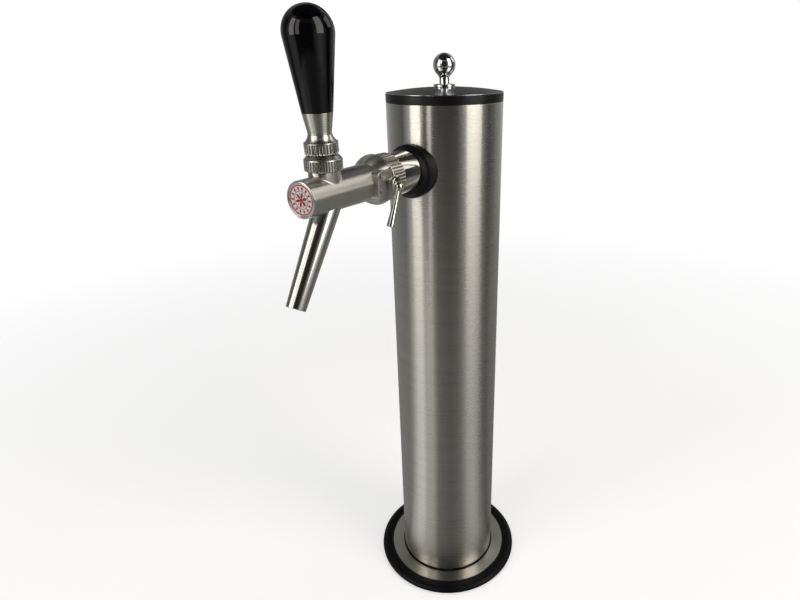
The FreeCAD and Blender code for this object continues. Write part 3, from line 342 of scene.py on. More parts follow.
def blend(tree, share, first, second, kind="MIX"):
    """Colour mix; both colours may be values or sockets."""
    made = node(tree, "ShaderNodeMix", data_type="RGBA", blend_type=kind)
    if isinstance(share, (int, float)):
        made.inputs["Factor"].default_value = share
    else:
        tree.links.new(share, made.inputs["Factor"])
    for i, colour in ((6, first), (7, second)):
        if isinstance(colour, tuple):
            made.inputs[i].default_value = (*colour, 1)
        else:
            tree.links.new(colour, made.inputs[i])
    return made.outputs[2]


def make_steel_group():
    """Brush or turning lines with a soft, uneven tone, read along stretched coordinates."""
    group, start, end = new_group(
        "steel lines", ("Colour", "Roughness", "Height"), Light_Steel=(0.6, 0.6, 0.6, 1),
        Dark_Steel=(0.5, 0.5, 0.5, 1), Line_Scale=1.0, Smooth=0.2, Rough=0.3,
    )
    place = start.outputs["Vector"]
    fine = noise(group, place, start.outputs["Line Scale"], 4.0, 0.7)
    broad_scale = math_node(group, "MULTIPLY", start.outputs["Line Scale"], 0.045)
    broad = noise(group, place, broad_scale, 3.0, 0.6)
    lines = spread(group, fine, 0.3, 0.7)
    patches = spread(group, broad, 0.35, 0.65)
    both = math_node(group, "MULTIPLY_ADD", patches, 0.45, math_node(group, "MULTIPLY", lines, 0.55))
    colour = blend(group, both, start.outputs["Dark Steel"], start.outputs["Light Steel"])
    rough = spread(group, both, 0.0, 1.0, start.outputs["Rough"], start.outputs["Smooth"])
    group.links.new(colour, end.inputs["Colour"])
    group.links.new(rough, end.inputs["Roughness"])
    group.links.new(lines, end.inputs["Height"])
    return group


def make_handling_group():
    """Faint wiped marks and fingerprints that dull a polished surface here and there."""
    group, start, end = new_group(
        "handling marks", ("Roughness", "Mask"), Scale=60.0, Clean=0.05, Marked=0.12,
    )
    smears = noise(group, start.outputs["Vector"], start.outputs["Scale"], 5.0, 0.62)
    mask = spread(group, smears, 0.48, 0.72)
    group.links.new(mask, end.inputs["Mask"])
    rough = spread(group, mask, 0.0, 1.0, start.outputs["Clean"], start.outputs["Marked"])
    group.links.new(rough, end.inputs["Roughness"])
    return group


def make_edge_group():
    """Mask of the outer edges, broken up by a fine grain."""
    group, start, end = new_group("worn edges", ("Mask",), Grain=900.0, Strength=1.0)
    shape = node(group, "ShaderNodeNewGeometry")
    edges = spread(group, shape.outputs["Pointiness"], 0.51, 0.58)
    grain = noise(group, start.outputs["Vector"], start.outputs["Grain"], 3.0)
    broken = math_node(group, "MULTIPLY", edges, spread(group, grain, 0.35, 0.6))
    group.links.new(math_node(group, "MULTIPLY", broken, start.outputs["Strength"]), end.inputs["Mask"])
    return group


def make_flute_root_group():
    """Mask of the flute roots, strongest at the root and fading towards the crest, by the distance from a
    ring's own axis.
    """
    group, start, end = new_group(
        "darker flute roots", ("Mask",), Root_Radius=0.0125, Crest_Radius=0.013,
    )
    reach = node(group, "ShaderNodeVectorMath", operation="LENGTH")
    group.links.new(start.outputs["Vector"], reach.inputs[0])
    root = start.outputs["Root Radius"]
    crest = start.outputs["Crest Radius"]
    depth = spread(group, reach.outputs["Value"], root, crest, 1.0, 0.0)
    inside = spread(group, reach.outputs["Value"], math_node(group, "MULTIPLY", root, 0.985), root)
    group.links.new(math_node(group, "MULTIPLY", depth, inside), end.inputs["Mask"])
    return group


def make_grain_group():
    """Fine grain of moulded rubber and plastic, with a few dull patches."""
    group, start, end = new_group(
        "moulded grain", ("Colour", "Roughness", "Height"), Dark=(0.01, 0.01, 0.01, 1),
        Light=(0.02, 0.02, 0.02, 1), Grain=1500.0, Smooth=0.35, Rough=0.55,
    )
    place = start.outputs["Vector"]
    grain = noise(group, place, start.outputs["Grain"], 3.0)
    dust = noise(group, place, 45.0, 5.0, 0.65)
    patches = spread(group, dust, 0.42, 0.68)
    half_patches = math_node(group, "MULTIPLY", patches, 0.5)
    tone = math_node(group, "MULTIPLY_ADD", spread(group, grain, 0.3, 0.7), 0.5, half_patches)
    colour = blend(group, tone, start.outputs["Dark"], start.outputs["Light"])
    rough = spread(group, patches, 0.0, 1.0, start.outputs["Smooth"], start.outputs["Rough"])
    group.links.new(colour, end.inputs["Colour"])
    group.links.new(rough, end.inputs["Roughness"])
    group.links.new(grain, end.inputs["Height"])
    return group


steel_lines = make_steel_group()
handling_marks = make_handling_group()
worn_edges = make_edge_group()
flute_root_darkening = make_flute_root_group()
moulded_grain = make_grain_group()


def new_finish(name, **constants):
    """Material with one Principled shader and its constant values."""
    material = bpy.data.materials.new(name)
    material.use_nodes = True
    shader = material.node_tree.nodes["Principled BSDF"]
    for label, value in constants.items():
        shader.inputs[label.replace("_", " ")].default_value = value
    return material, material.node_tree, shader


def stretched(tree, stretch=(1, 1, 1), centre=(0, 0, 0), turn=(0, 0, 0)):
    """Object coordinates moved to a centre in millimetres, turned in degrees and stretched."""
    source = node(tree, "ShaderNodeTexCoord")
    moved = node(tree, "ShaderNodeMapping")
    moved.inputs["Location"].default_value = [-distance * MM for distance in centre]
    tree.links.new(source.outputs["Object"], moved.inputs["Vector"])
    turned_place = node(tree, "ShaderNodeMapping")
    turned_place.inputs["Rotation"].default_value = [math.radians(angle) for angle in turn]
    tree.links.new(moved.outputs["Vector"], turned_place.inputs["Vector"])
    scaled = node(tree, "ShaderNodeMapping")
    scaled.inputs["Scale"].default_value = stretch
    tree.links.new(turned_place.outputs["Vector"], scaled.inputs["Vector"])
    return scaled.outputs["Vector"]


def place_group(tree, group, place, **values):
    """Node group in a material, read at a place and set to its own values."""
    made = node(tree, "ShaderNodeGroup", node_tree=group)
    tree.links.new(place, made.inputs["Vector"])
    for label, value in values.items():
        socket = made.inputs[label.replace("_", " ")]
        socket.default_value = (*value, 1) if isinstance(value, tuple) else value
    return made


def bump(tree, shader, height, strength, depth):
    """Bump from a height into the shader's normal; depth is in millimetres."""
    made = node(tree, "ShaderNodeBump")
    made.inputs["Strength"].default_value = strength
    made.inputs["Distance"].default_value = depth * MM
    tree.links.new(height, made.inputs["Height"])
    tree.links.new(made.outputs["Normal"], shader.inputs["Normal"])


def steel_finish(
    name, light, dark, smooth, rough, stretch, line_scale, depth,
    centre=(0, 0, 0), turn=(0, 0, 0), **constants
):
    """Steel with lines across one direction of its own coordinates."""
    material, tree, shader = new_finish(name, Metallic=1.0, **constants)
    place = stretched(tree, stretch, centre, turn)
    lines = place_group(
        tree, steel_lines, place,
        Light_Steel=light, Dark_Steel=dark, Line_Scale=line_scale, Smooth=smooth, Rough=rough,
    )
    tree.links.new(lines.outputs["Colour"], shader.inputs["Base Color"])
    tree.links.new(lines.outputs["Roughness"], shader.inputs["Roughness"])
    bump(tree, shader, lines.outputs["Height"], 0.3, depth)
    return material, tree, shader, lines


def turned_lines(material, axis):
    """Spread a finish's highlight across lines that run round an axis of the piece."""
    tree = material.node_tree
    tangent = node(tree, "ShaderNodeTangent", direction_type="RADIAL", axis=axis)
    tree.links.new(tangent.outputs["Tangent"], tree.nodes["Principled BSDF"].inputs["Tangent"])
    return material


LINES_ROUND_Z = (0.03, 0.03, 1.0)
LINES_ROUND_Y = (0.05, 1.0, 0.05)
EVEN = (1.0, 1.0, 1.0)

column_steel = turned_lines(steel_finish(
    "brushed column steel", (0.68, 0.66, 0.605), (0.6, 0.58, 0.53), 0.25, 0.285,
    LINES_ROUND_Z, 2200.0, 0.002,
    Anisotropic=1.0, Anisotropic_Rotation=0.25,
)[0], "Z")
flange_steel = turned_lines(steel_finish(
    "brushed flange steel", (0.7, 0.68, 0.625), (0.6, 0.58, 0.53), 0.34, 0.4, (1.0, 1.0, 0.03), 700.0, 0.006,
    Anisotropic=0.9, Anisotropic_Rotation=0.25,
)[0], "Z")
tap_steel = turned_lines(steel_finish(
    "satin tap steel", (0.66, 0.645, 0.6), (0.59, 0.575, 0.53), 0.28, 0.33, LINES_ROUND_Y, 1300.0, 0.006,
    Anisotropic=0.95, Anisotropic_Rotation=0.25,
)[0], "Y")
plate_steel = steel_finish(
    "satin plate steel", (0.62, 0.605, 0.565), (0.55, 0.54, 0.5), 0.36, 0.42, (1.0, 1.0, 0.1), 900.0, 0.006,
)[0]
spout_steel = steel_finish(
    "polished spout steel", (0.7, 0.685, 0.64), (0.62, 0.605, 0.56), 0.14, 0.2, LINES_ROUND_Z, 900.0, 0.004,
    centre=(0, -SPOUT_FOOT, TAP_HEIGHT), turn=(-SPOUT_LEAN, 0, 0),
)[0]
lever_steel = steel_finish(
    "polished lever steel", (0.72, 0.705, 0.66), (0.66, 0.645, 0.6), 0.12, 0.18, EVEN, 500.0, 0.003,
)[0]
handle_steel = turned_lines(steel_finish(
    "satin ferrule steel", (0.66, 0.645, 0.6), (0.58, 0.565, 0.525), 0.26, 0.32, LINES_ROUND_Z, 1300.0, 0.006,
    Anisotropic=0.9, Anisotropic_Rotation=0.25,
)[0], "Z")
lid_steel = steel_finish(
    "satin lid steel", (0.52, 0.52, 0.51), (0.48, 0.48, 0.47), 0.18, 0.22, EVEN, 900.0, 0.002,
)[0]
inner_steel = steel_finish(
    "turned inner steel", (0.6, 0.59, 0.56), (0.48, 0.47, 0.45), 0.25, 0.36, LINES_ROUND_Y, 800.0, 0.01,
)[0]
pipe_steel = steel_finish(
    "drawn pipe steel", (0.6, 0.59, 0.56), (0.5, 0.49, 0.46), 0.24, 0.34, (1.0, 1.0, 0.02), 1400.0, 0.01,
)[0]
brass = steel_finish(
    "turned brass", (0.72, 0.52, 0.22), (0.58, 0.4, 0.16), 0.24, 0.36, LINES_ROUND_Y, 800.0, 0.01,
)[0]


# Painted shade: a dark line painted into the column's and the flange's colour where the column stands on the
# flange, in place of the shadow in the gap between them.
SEAM_SHADE = (0.012, 0.011, 0.009)
SEAM_DULLNESS = 0.7
SEAM_START = 0.15
SEAM_FADE = 0.35


def ring_mask(tree, value, start, end):
    """1 between two lengths in millimetres, fading outside them."""
    rising = spread(tree, value, (start - SEAM_START) * MM, start * MM)
    falling = spread(tree, value, end * MM, (end + SEAM_FADE) * MM, 1.0, 0.0)
    return math_node(tree, "MULTIPLY", rising, falling)


def paint_seam_shade(material, near, far, low, high):
    """Painted shade in a ring round the Z axis, standing in for the dark gap where the column stands on the
    flange, between two radii and two heights in millimetres.
    """
    tree = material.node_tree
    shader = tree.nodes["Principled BSDF"]
    parts = node(tree, "ShaderNodeSeparateXYZ")
    tree.links.new(stretched(tree), parts.inputs["Vector"])
    reach = node(tree, "ShaderNodeVectorMath", operation="LENGTH")
    tree.links.new(stretched(tree, (1, 1, 0)), reach.inputs[0])
    ring = ring_mask(tree, reach.outputs["Value"], near, far)
    height = ring_mask(tree, parts.outputs["Z"], low, high)
    broken = spread(tree, noise(tree, stretched(tree), 130.0, 3.0), 0.2, 0.55, 0.85, 1.0)
    mask = math_node(tree, "MULTIPLY", math_node(tree, "MULTIPLY", ring, height), broken)
    clean_colour = shader.inputs["Base Color"].links[0].from_socket
    clean_rough = shader.inputs["Roughness"].links[0].from_socket
    dull = math_node(tree, "MULTIPLY", mask, SEAM_DULLNESS)
    # Painted shade: inside the seam mask the base colour goes dark.
    tree.links.new(blend(tree, mask, clean_colour, SEAM_SHADE), shader.inputs["Base Color"])
    tree.links.new(math_node(tree, "MAXIMUM", clean_rough, dull), shader.inputs["Roughness"])


# Painted shade of the gap at the column's foot, on the column and on the flange.
paint_seam_shade(column_steel, 50.0, 51.5, 8.0, 8.75)
paint_seam_shade(flange_steel, 51.0, 51.9, 5.5, 8.6)


def knurled_finish(name, centre, turn, stretch, root, crest):
    """Polished fluted steel, darker in the roots of the flutes, with bright, worn crests."""
    material, tree, shader, lines = steel_finish(
        name, (0.68, 0.66, 0.615), (0.58, 0.565, 0.52), 0.2, 0.28, EVEN, 700.0, 0.006,
        centre=centre, turn=turn,
    )
    across = stretched(tree, stretch, centre, turn)
    root_darkening = place_group(tree, flute_root_darkening, across, Root_Radius=root * MM, Crest_Radius=crest * MM)
    edges = place_group(tree, worn_edges, stretched(tree), Strength=0.5)
    # The base colour goes darker in the roots of the flutes.
    darkened_roots = blend(tree, root_darkening.outputs["Mask"], lines.outputs["Colour"], (0.26, 0.245, 0.215))
    bright = blend(tree, edges.outputs["Mask"], darkened_roots, (0.82, 0.81, 0.78))
    tree.links.new(bright, shader.inputs["Base Color"])
    dull = math_node(tree, "MULTIPLY_ADD", root_darkening.outputs["Mask"], 0.25, lines.outputs["Roughness"])
    tree.links.new(dull, shader.inputs["Roughness"])
    return material


nut_steel = knurled_finish("fluted nut steel", (0, 0, TAP_HEIGHT), (0, 0, 0), (1, 0, 1), 17.65, 18.1)
bonnet_steel = knurled_finish("fluted bonnet steel", PIVOT, (0, 0, 0), (1, 1, 0), 12.5, 13.0)
collar_steel = knurled_finish("fluted collar steel", PIVOT, (-HANDLE_LEAN, 0, 0), (1, 1, 0), 10.9, 11.4)


def chrome_finish(name, colour, clean, marked):
    """Mirror chrome with faint wiped marks."""
    material, tree, shader = new_finish(name, Metallic=1.0)
    marks = place_group(tree, handling_marks, stretched(tree), Clean=clean, Marked=marked)
    edges = place_group(tree, worn_edges, stretched(tree), Strength=0.35)
    dulled = blend(tree, marks.outputs["Mask"], colour, tuple(0.9 * part for part in colour))
    bright = blend(tree, edges.outputs["Mask"], dulled, (0.85, 0.85, 0.85))
    tree.links.new(bright, shader.inputs["Base Color"])
    tree.links.new(marks.outputs["Roughness"], shader.inputs["Roughness"])
    return material


knob_chrome = chrome_finish("knob chrome", (0.74, 0.745, 0.76), 0.03, 0.08)
collar_chrome = chrome_finish("collar chrome", (0.76, 0.755, 0.74), 0.06, 0.11)


def moulded_finish(name, dark, light, smooth, rough, grain=1500.0, strength=0.25, **constants):
    """Rubber or plastic with a fine moulded grain."""
    material, tree, shader = new_finish(name, **constants)
    skin = place_group(
        tree, moulded_grain, stretched(tree), Dark=dark, Light=light, Grain=grain, Smooth=smooth, Rough=rough
    )
    tree.links.new(skin.outputs["Colour"], shader.inputs["Base Color"])
    tree.links.new(skin.outputs["Roughness"], shader.inputs["Roughness"])
    bump(tree, shader, skin.outputs["Height"], strength, 0.03)
    return material


base_rubber = moulded_finish(
    "black base rubber", (0.0014, 0.0016, 0.0024), (0.0045, 0.005, 0.0062), 0.34, 0.48,
    Specular_IOR_Level=0.2,
)
washer_rubber = moulded_finish(
    "black washer rubber", (0.001, 0.0013, 0.0022), (0.0035, 0.004, 0.0055), 0.4, 0.54,
    Specular_IOR_Level=0.25,
)
cap_plastic = moulded_finish(
    "black cap plastic", (0.0016, 0.0018, 0.0026), (0.005, 0.0055, 0.0068), 0.34, 0.46, 1100.0,
    Specular_IOR_Level=0.35,
)
grip_black = moulded_finish(
    "black lacquered grip", (0.0008, 0.0009, 0.0016), (0.0016, 0.0018, 0.0026), 0.05, 0.11, 400.0, 0.02,
    Specular_IOR_Level=0.45,
)
seal_rubber = moulded_finish("seal rubber", (0.012, 0.012, 0.012), (0.03, 0.03, 0.03), 0.45, 0.65)
white_plastic = moulded_finish("white guide plastic", (0.66, 0.65, 0.61), (0.78, 0.77, 0.74), 0.3, 0.45)
badge_white = moulded_finish(
    "white badge enamel", (0.76, 0.74, 0.7), (0.84, 0.82, 0.79), 0.12, 0.2, 500.0, 0.05,
)
badge_red = moulded_finish(
    "red badge enamel", (0.42, 0.004, 0.008), (0.52, 0.008, 0.013), 0.16, 0.24, 500.0, 0.05,
)
badge_black = moulded_finish(
    "black badge enamel", (0.02, 0.02, 0.024), (0.05, 0.05, 0.055), 0.14, 0.22, 500.0, 0.05,
)


# Base, column and cap

def base_flange():
    flange = turned("base_flange", [
        (32.0, 0.0), (64.6, 0.0), (64.6, 1.8), (72.6, 1.8), (72.6, 4.4), (64.6, 4.4), (64.6, 6.2, 0.4),
        (60.0, 6.2), (55.0, 6.2), (51.3, 6.2), (51.3, 8.4, 0.3), (49.2, 8.4), (49.2, 20.4), (45.2, 20.4),
        (45.2, 6.2), (32.0, 6.2),
    ], around=160)
    for i in range(4):
        angle = math.radians(45 + 90 * i)
        hole = turned("bolt_hole", [(0, -1), (3.4, -1), (3.4, 7.2), (0, 7.2)], around=32)
        turn_and_move(hole, (0, 0, 0), (40 * math.cos(angle), 40 * math.sin(angle), 0))
        combine(flange, hole, "DIFFERENCE")
    finish(flange, "tower", [flange_steel], ["base_flange"])


def base_edge_ring():
    outline = [(64.7, 0.0), (74.6, 0.0, 0.4), (76.8, 2.2, 0.8)]
    outline += arc((70.75, 3.4), (6.05, 4.2), 0, 90, 12)
    outline += [(66.4, 7.5, 0.5), (64.7, 6.3), (64.7, 4.5), (72.7, 4.5), (72.7, 1.7), (64.7, 1.7)]
    ring = turned("base_edge_ring", outline, around=160)
    finish(ring, "tower", [base_rubber], ["base_edge_ring"])


def column():
    tube = turned("column_tube", [
        (49.3, 8.4), (50.8, 8.4, 0.25), (50.8, 120.0), (50.8, 240.0), (50.8, 360.0), (50.8, 424.0),
        (50.8, 478.0), (50.8, 501.3, 0.25), (49.3, 501.3), (49.3, 478.0), (49.3, 424.0),
    ], around=192)
    hole = on_tap(turned("shank_hole", [(0, 24), (11.1, 24), (11.1, 52), (0, 52)], around=64))
    combine(tube, hole, "DIFFERENCE")
    finish(tube, "tower", [column_steel], ["column_tube"])


def cap():
    ring = turned("cap_ring", [
        (45.6, 489.3), (48.9, 489.3, 0.4), (48.9, 501.3), (50.9, 501.3, 0.45), (50.9, 508.3, 0.6),
        (45.6, 508.3),
    ], around=160)
    finish(ring, "cap", [cap_plastic], ["cap_ring"])
    radii = [3.1 + (49.4 - 3.1) * i / 20 for i in range(21)]
    outline = [(radius, dome(radius, 508.3, 511.8, 49.4)) for radius in radii]
    outline += [(50.6, 508.3, 0.15), (50.6, 508.9, 0.2)]
    radii = [50.0 + (3.1 - 50.0) * i / 20 for i in range(21)]
    outline += [(radius, dome(radius, 508.9, 513.0, 50.6)) for radius in radii]
    lid = turned("cap_lid", outline, around=160)
    finish(lid, "cap", [lid_steel], ["cap_lid"])
    knob = turned("cap_knob", [
        (0, 503.98), (3.0, 503.98, 0.4), (3.0, 512.98), (9.35, 512.98, 0.35), (9.35, 515.1, 0.6),
        (4.25, 515.1, 0.7), (4.25, 520.35, 0.8), (5.9, 522.83, 0.3),
    ] + arc((0, 530.4), 9.6, -48.0, 90.0, 28), around=64, closed=False)
    finish(knob, "cap", [knob_chrome], ["cap_knob"], smooth=40)


# Shank and coupling

def shank_and_nut():
    washer = turned("saddle_washer", [
        (12.3, 30.0), (22.0, 30.0), (22.0, 57.0, 0.5), (20.0, 59.0, 0.5), (17.8, 62.8, 0.5), (12.3, 62.8),
    ], around=128)
    turn_and_move(washer, (90, 0, 0), (0, 0, TAP_HEIGHT - 1.5))
    skin = turned("column_skin", [(0, 400), (50.85, 400), (50.85, 500), (0, 500)], around=256)
    combine(washer, skin, "DIFFERENCE")
    finish(washer, "tower", [washer_rubber], ["saddle_washer"])
    shank = on_tap(turned("shank", [
        (5.0, 22.0), (10.5, 22.0, 0.7), (10.5, 62.8), (17.0, 62.8, 0.6), (17.0, 84.6, 0.7), (14.1, 84.6),
        (14.1, 91.0, 0.4), (7.2, 91.0), (7.2, 80.0), (5.0, 80.0),
    ], around=128))
    finish(shank, "tower", [collar_chrome], ["shank"])
    nut = turned("coupling_nut", [
        (14.2, 85.2), (18.2, 85.2, 0.8), (18.2, 86.4), (18.2, 98.6), (18.2, 99.8, 0.8), (12.65, 99.8),
        (12.65, 97.1), (14.2, 97.1),
    ], around=352)
    cut_flutes(nut, 44, 18.2, 0.45, 86.3, 98.7)
    finish(on_tap(nut), "tower", [nut_steel], ["coupling_nut"])


# Tap body

def barrel_radius(along):
    return 13.8 - (along - 112.0) / 66.8


def neck_place(step, turn, reach):
    """Place of a neck vertex in a step of its growth: side, up and along, at a turn about the neck's axis."""
    side, ahead = math.cos(turn), math.sin(turn)

    def on_barrel(distance):
        along = NECK_AT + distance * ahead
        return distance * side, math.sqrt(barrel_radius(along) ** 2 - (distance * side) ** 2), along

    corner = on_barrel(NECK_R)
    slope = math.atan(NECK_R * side * side / corner[1])
    tangent = NECK_BLEND * math.tan((math.pi / 2 - slope) / 2)
    foot = on_barrel(NECK_R + tangent * math.cos(slope))
    if step == "foot":
        return foot
    if isinstance(step, float) and step < 0:
        return on_barrel(reach + (NECK_R + tangent * math.cos(slope) - reach) / -step)
    if isinstance(step, float):
        wall = (corner[0], corner[1] + tangent, corner[2])
        shares = ((1 - step) ** 2, 2 * step * (1 - step), step ** 2)
        return tuple(shares[0] * foot[i] + shares[1] * corner[i] + shares[2] * wall[i] for i in range(3))
    radius, height = step
    return radius * side, height, NECK_AT + radius * ahead


def grow_neck(body):
    """Open a patch of the barrel and draw the neck up out of it with a soft blend."""
    open_mesh(body)
    bpy.ops.mesh.select_mode(type="FACE")
    bpy.ops.mesh.select_all(action="DESELECT")
    mesh = bmesh.from_edit_mesh(body.data)
    for face in mesh.faces:
        middle = face.calc_center_median() / MM
        outside = math.hypot(middle.x, middle.y) > 12.0
        off_top = abs(math.degrees(math.atan2(middle.x, middle.y)))
        if outside and off_top < PATCH_ANGLE and abs(middle.z - NECK_AT) < PATCH_REACH:
            face.select = True
    bmesh.update_edit_mesh(body.data)
    bpy.ops.mesh.delete(type="FACE")
    bpy.ops.mesh.select_mode(type="EDGE")
    bpy.ops.mesh.select_non_manifold(
        extend=False, use_wire=False, use_boundary=True, use_multi_face=False, use_non_contiguous=False,
        use_verts=False,
    )
    steps = [-4.0, -3.0, -2.0, "foot"] + [i / 8 for i in range(1, 9)]
    steps += [(NECK_R, 15.45), (10.65, 15.7), (10.1, 15.7), (10.1, 19.7), (9.7, 20.1)]
    for step in steps:
        bpy.ops.mesh.extrude_region_move()
        mesh = bmesh.from_edit_mesh(body.data)
        for point in mesh.verts:
            if point.select:
                side, along = point.co.x / MM, point.co.z / MM - NECK_AT
                turn = math.atan2(along, side)
                place = neck_place(step, turn, math.hypot(side, along))
                point.co = Vector(place) * MM
        bmesh.update_edit_mesh(body.data)
    bpy.ops.mesh.edge_face_add()
    bpy.ops.mesh.select_mode(type="VERT")
    close_mesh()


def flow_block(name, inset, low, high):
    """Rounded block of the flow control, between two distances to the side."""
    block = slab(name, (low, -12.4 + inset, 100.9 + inset), (high, 10.0 - inset, 118.8 - inset))
    bevel_edges(block, lambda a, b: abs(a.x - b.x) > 0.5, 4.0 - inset, 8)
    return block


def side_hole(radius, low, high, up=0.0, along=FLOW_AT):
    """Cutter for a hole to the side of the tap."""
    hole = turned("side_hole", [(0, low), (radius, low), (radius, high), (0, high)], around=48)
    return turn_and_move(hole, (0, 90, 0), (0, up, along))


def neck_hole(name, radius, low):
    """Cutter for a hole down the neck from above its top."""
    hole = turned(name, [(0, low), (radius, low), (radius, 24), (0, 24)], around=64)
    return turn_and_move(hole, (-90, 0, 0), (0, 0, NECK_AT))


def spout_radius(distance):
    """Outer radius of the spout at a distance down its axis."""
    return 9.85 - 2.85 * distance / 85.2


def tap_body():
    rows = [NECK_AT - PATCH_REACH + 2 * PATCH_REACH * i / PATCH_ROWS for i in range(PATCH_ROWS + 1)]
    outline = [
        (0, 171.0), (8.5, 171.0), (8.5, 131.4), (5.8, 131.4), (5.8, 129.0), (10.5, 129.0), (10.5, 91.8),
        (14.1, 91.8, 0.3), (14.1, 94.9, 0.3), (12.55, 94.9), (12.55, 100.1), (19.2, 100.1, 0.9),
        (19.2, 102.7),
    ]
    outline += bowed((19.2, 102.7), (13.8, 112.0), 0.7, 12)
    outline += [(13.8, 112.0), (barrel_radius(126.0), 126.0)]
    outline += [(barrel_radius(row), row) for row in rows]
    outline += [(12.8, 178.8, 0.8), (11.4, 178.8, 0.2), (11.4, 177.5), (0, 177.5)]
    body = turned("tap_body", outline, around=96, closed=False)
    grow_neck(body)
    combine(body, slab("side_flat", (15.6, -40, 99.9), (40, 40, 160)), "DIFFERENCE")
    boss = flow_block("flow_boss", 0.4, 9.6, 15.6)
    bore = turned("boss_bore", [(0, 90), (10.5, 90), (10.5, 125), (0, 125)], around=96)
    combine(boss, bore, "DIFFERENCE")
    combine(body, boss, "UNION")
    for hole in (
        neck_hole("arm_hole", 7.6, 0),
        neck_hole("seat_pocket", 9, 13.6),
        side_hole(2.05, 0, 20),
        side_hole(3.05, 13.4, 20),
        side_hole(1.05, 12.1, 20, SCREWS_UP[0], SCREW_AT),
        side_hole(1.05, 12.1, 20, SCREWS_UP[1], SCREW_AT),
    ):
        combine(body, hole, "DIFFERENCE")
    on_tap(body)
    passage = on_spout(turned("spout_passage", [
        (0, 6.0), (spout_radius(6.0) + 0.06, 6.0), (8.5, 40.0), (0, 40.0),
    ], around=96))
    combine(body, passage, "DIFFERENCE")
    finish(body, "tower", [tap_steel], ["tap_body"], smooth=35)


def spout():
    tube = on_spout(turned("spout", [
        (7.2, 8.0), (spout_radius(8.0), 8.0), (spout_radius(30.0), 30.0), (spout_radius(55.0), 55.0),
        (7.0, 85.2, 0.5), (5.4, 85.2, 0.4), (6.3, 50.0),
    ], around=96))
    chamber = on_tap(turned("chamber", [(0, 131.4), (8.5, 131.4), (8.5, 171.0), (0, 171.0)], around=96))
    combine(tube, chamber, "DIFFERENCE")
    finish(tube, "tower", [spout_steel], ["spout"])


# Badge

def motif(name, centre, size, angle, material_index, low, high, sides=24):
    """Raised oval of enamel on the badge: its centre and size across the face, and its turn."""
    bpy.ops.mesh.primitive_circle_add(vertices=sides, radius=1.0, fill_type="NGON")
    petal = bpy.context.object
    petal.name = name
    petal.scale = (size[0] / 2 * MM, size[1] / 2 * MM, 1)
    petal.rotation_euler = (0, 0, math.radians(angle))
    petal.location = (centre[0] * MM, centre[1] * MM, low * MM)
    bpy.ops.object.transform_apply(location=True, rotation=True, scale=True)
    bpy.ops.object.mode_set(mode="EDIT")
    bpy.ops.mesh.select_all(action="SELECT")
    bpy.ops.mesh.extrude_region_move(TRANSFORM_OT_translate={"value": (0, 0, (high - low) * MM)})
    close_mesh()
    paint(petal, material_index)
    return petal


def paint(piece, material_index):
    for material in (badge_white, badge_red, badge_black):
        piece.data.materials.append(material)
    for face in piece.data.polygons:
        face.material_index = material_index


def band(name, inner, outer, low, high, material_index):
    """Flat raised ring of enamel."""
    ring = turned(name, [(inner, low), (outer, low), (outer, high), (inner, high)], around=96)
    paint(ring, material_index)
    return ring


def badge():
    bezel = on_tap(turned("badge_bezel", [
        (10.8, 177.5), (11.35, 177.5), (11.35, 178.5, 0.2), (10.8, 178.5, 0.2),
    ], around=96))
    finish(bezel, "tower", [knob_chrome], ["badge_bezel"])
    plate = turned("badge", [
        (0, 177.5), (10.75, 177.5), (10.75, 178.1, 0.15), (0, 178.1),
    ], around=96, closed=False)
    paint(plate, 0)
    low, high = 178.05, 178.2
    parts = [
        band("rim_band", 9.5, 10.3, low, high, 1),
        band("inner_band", 5.9, 6.25, low, high, 2),
    ]
    for i in range(14):
        angle = math.tau * i / 14
        centre = (7.85 * math.cos(angle), 7.85 * math.sin(angle))
        parts.append(motif("outer_drop", centre, (2.2, 1.5), math.degrees(angle), 1, low, high, 16))
    for i in range(6):
        angle = math.tau * (i + 0.25) / 6
        centre = (3.1 * math.cos(angle), 3.1 * math.sin(angle))
        parts.append(motif("petal", centre, (4.2, 2.0), math.degrees(angle), 1, low, high, 24))
        between = angle + math.pi / 6
        centre = (4.4 * math.cos(between), 4.4 * math.sin(between))
        parts.append(motif("seed", centre, (1.0, 0.8), math.degrees(between), 2, low, high, 12))
    parts.append(motif("centre", (0, 0), (1.9, 1.9), 0, 2, low, high + 0.03, 24))
    finish(on_tap(join(plate, *parts)), "tower", [], ["badge"])


# Pour handle

def bonnet():
    ring = turned("bonnet_nut", [
        (10.15, -1.0), (13.1, -1.0, 0.7), (13.1, 0.1), (13.1, 5.7), (13.1, 6.6, 0.35), (10.8, 9.2, 0.4),
        (9.4, 9.2), (6.7, 3.4), (10.15, 3.4),
    ], around=312)
    cut_flutes(ring, 39, 13.1, 0.6, 0.05, 5.75)
    finish(on_handle(ring, 0), "tower", [bonnet_steel], ["bonnet_nut"])


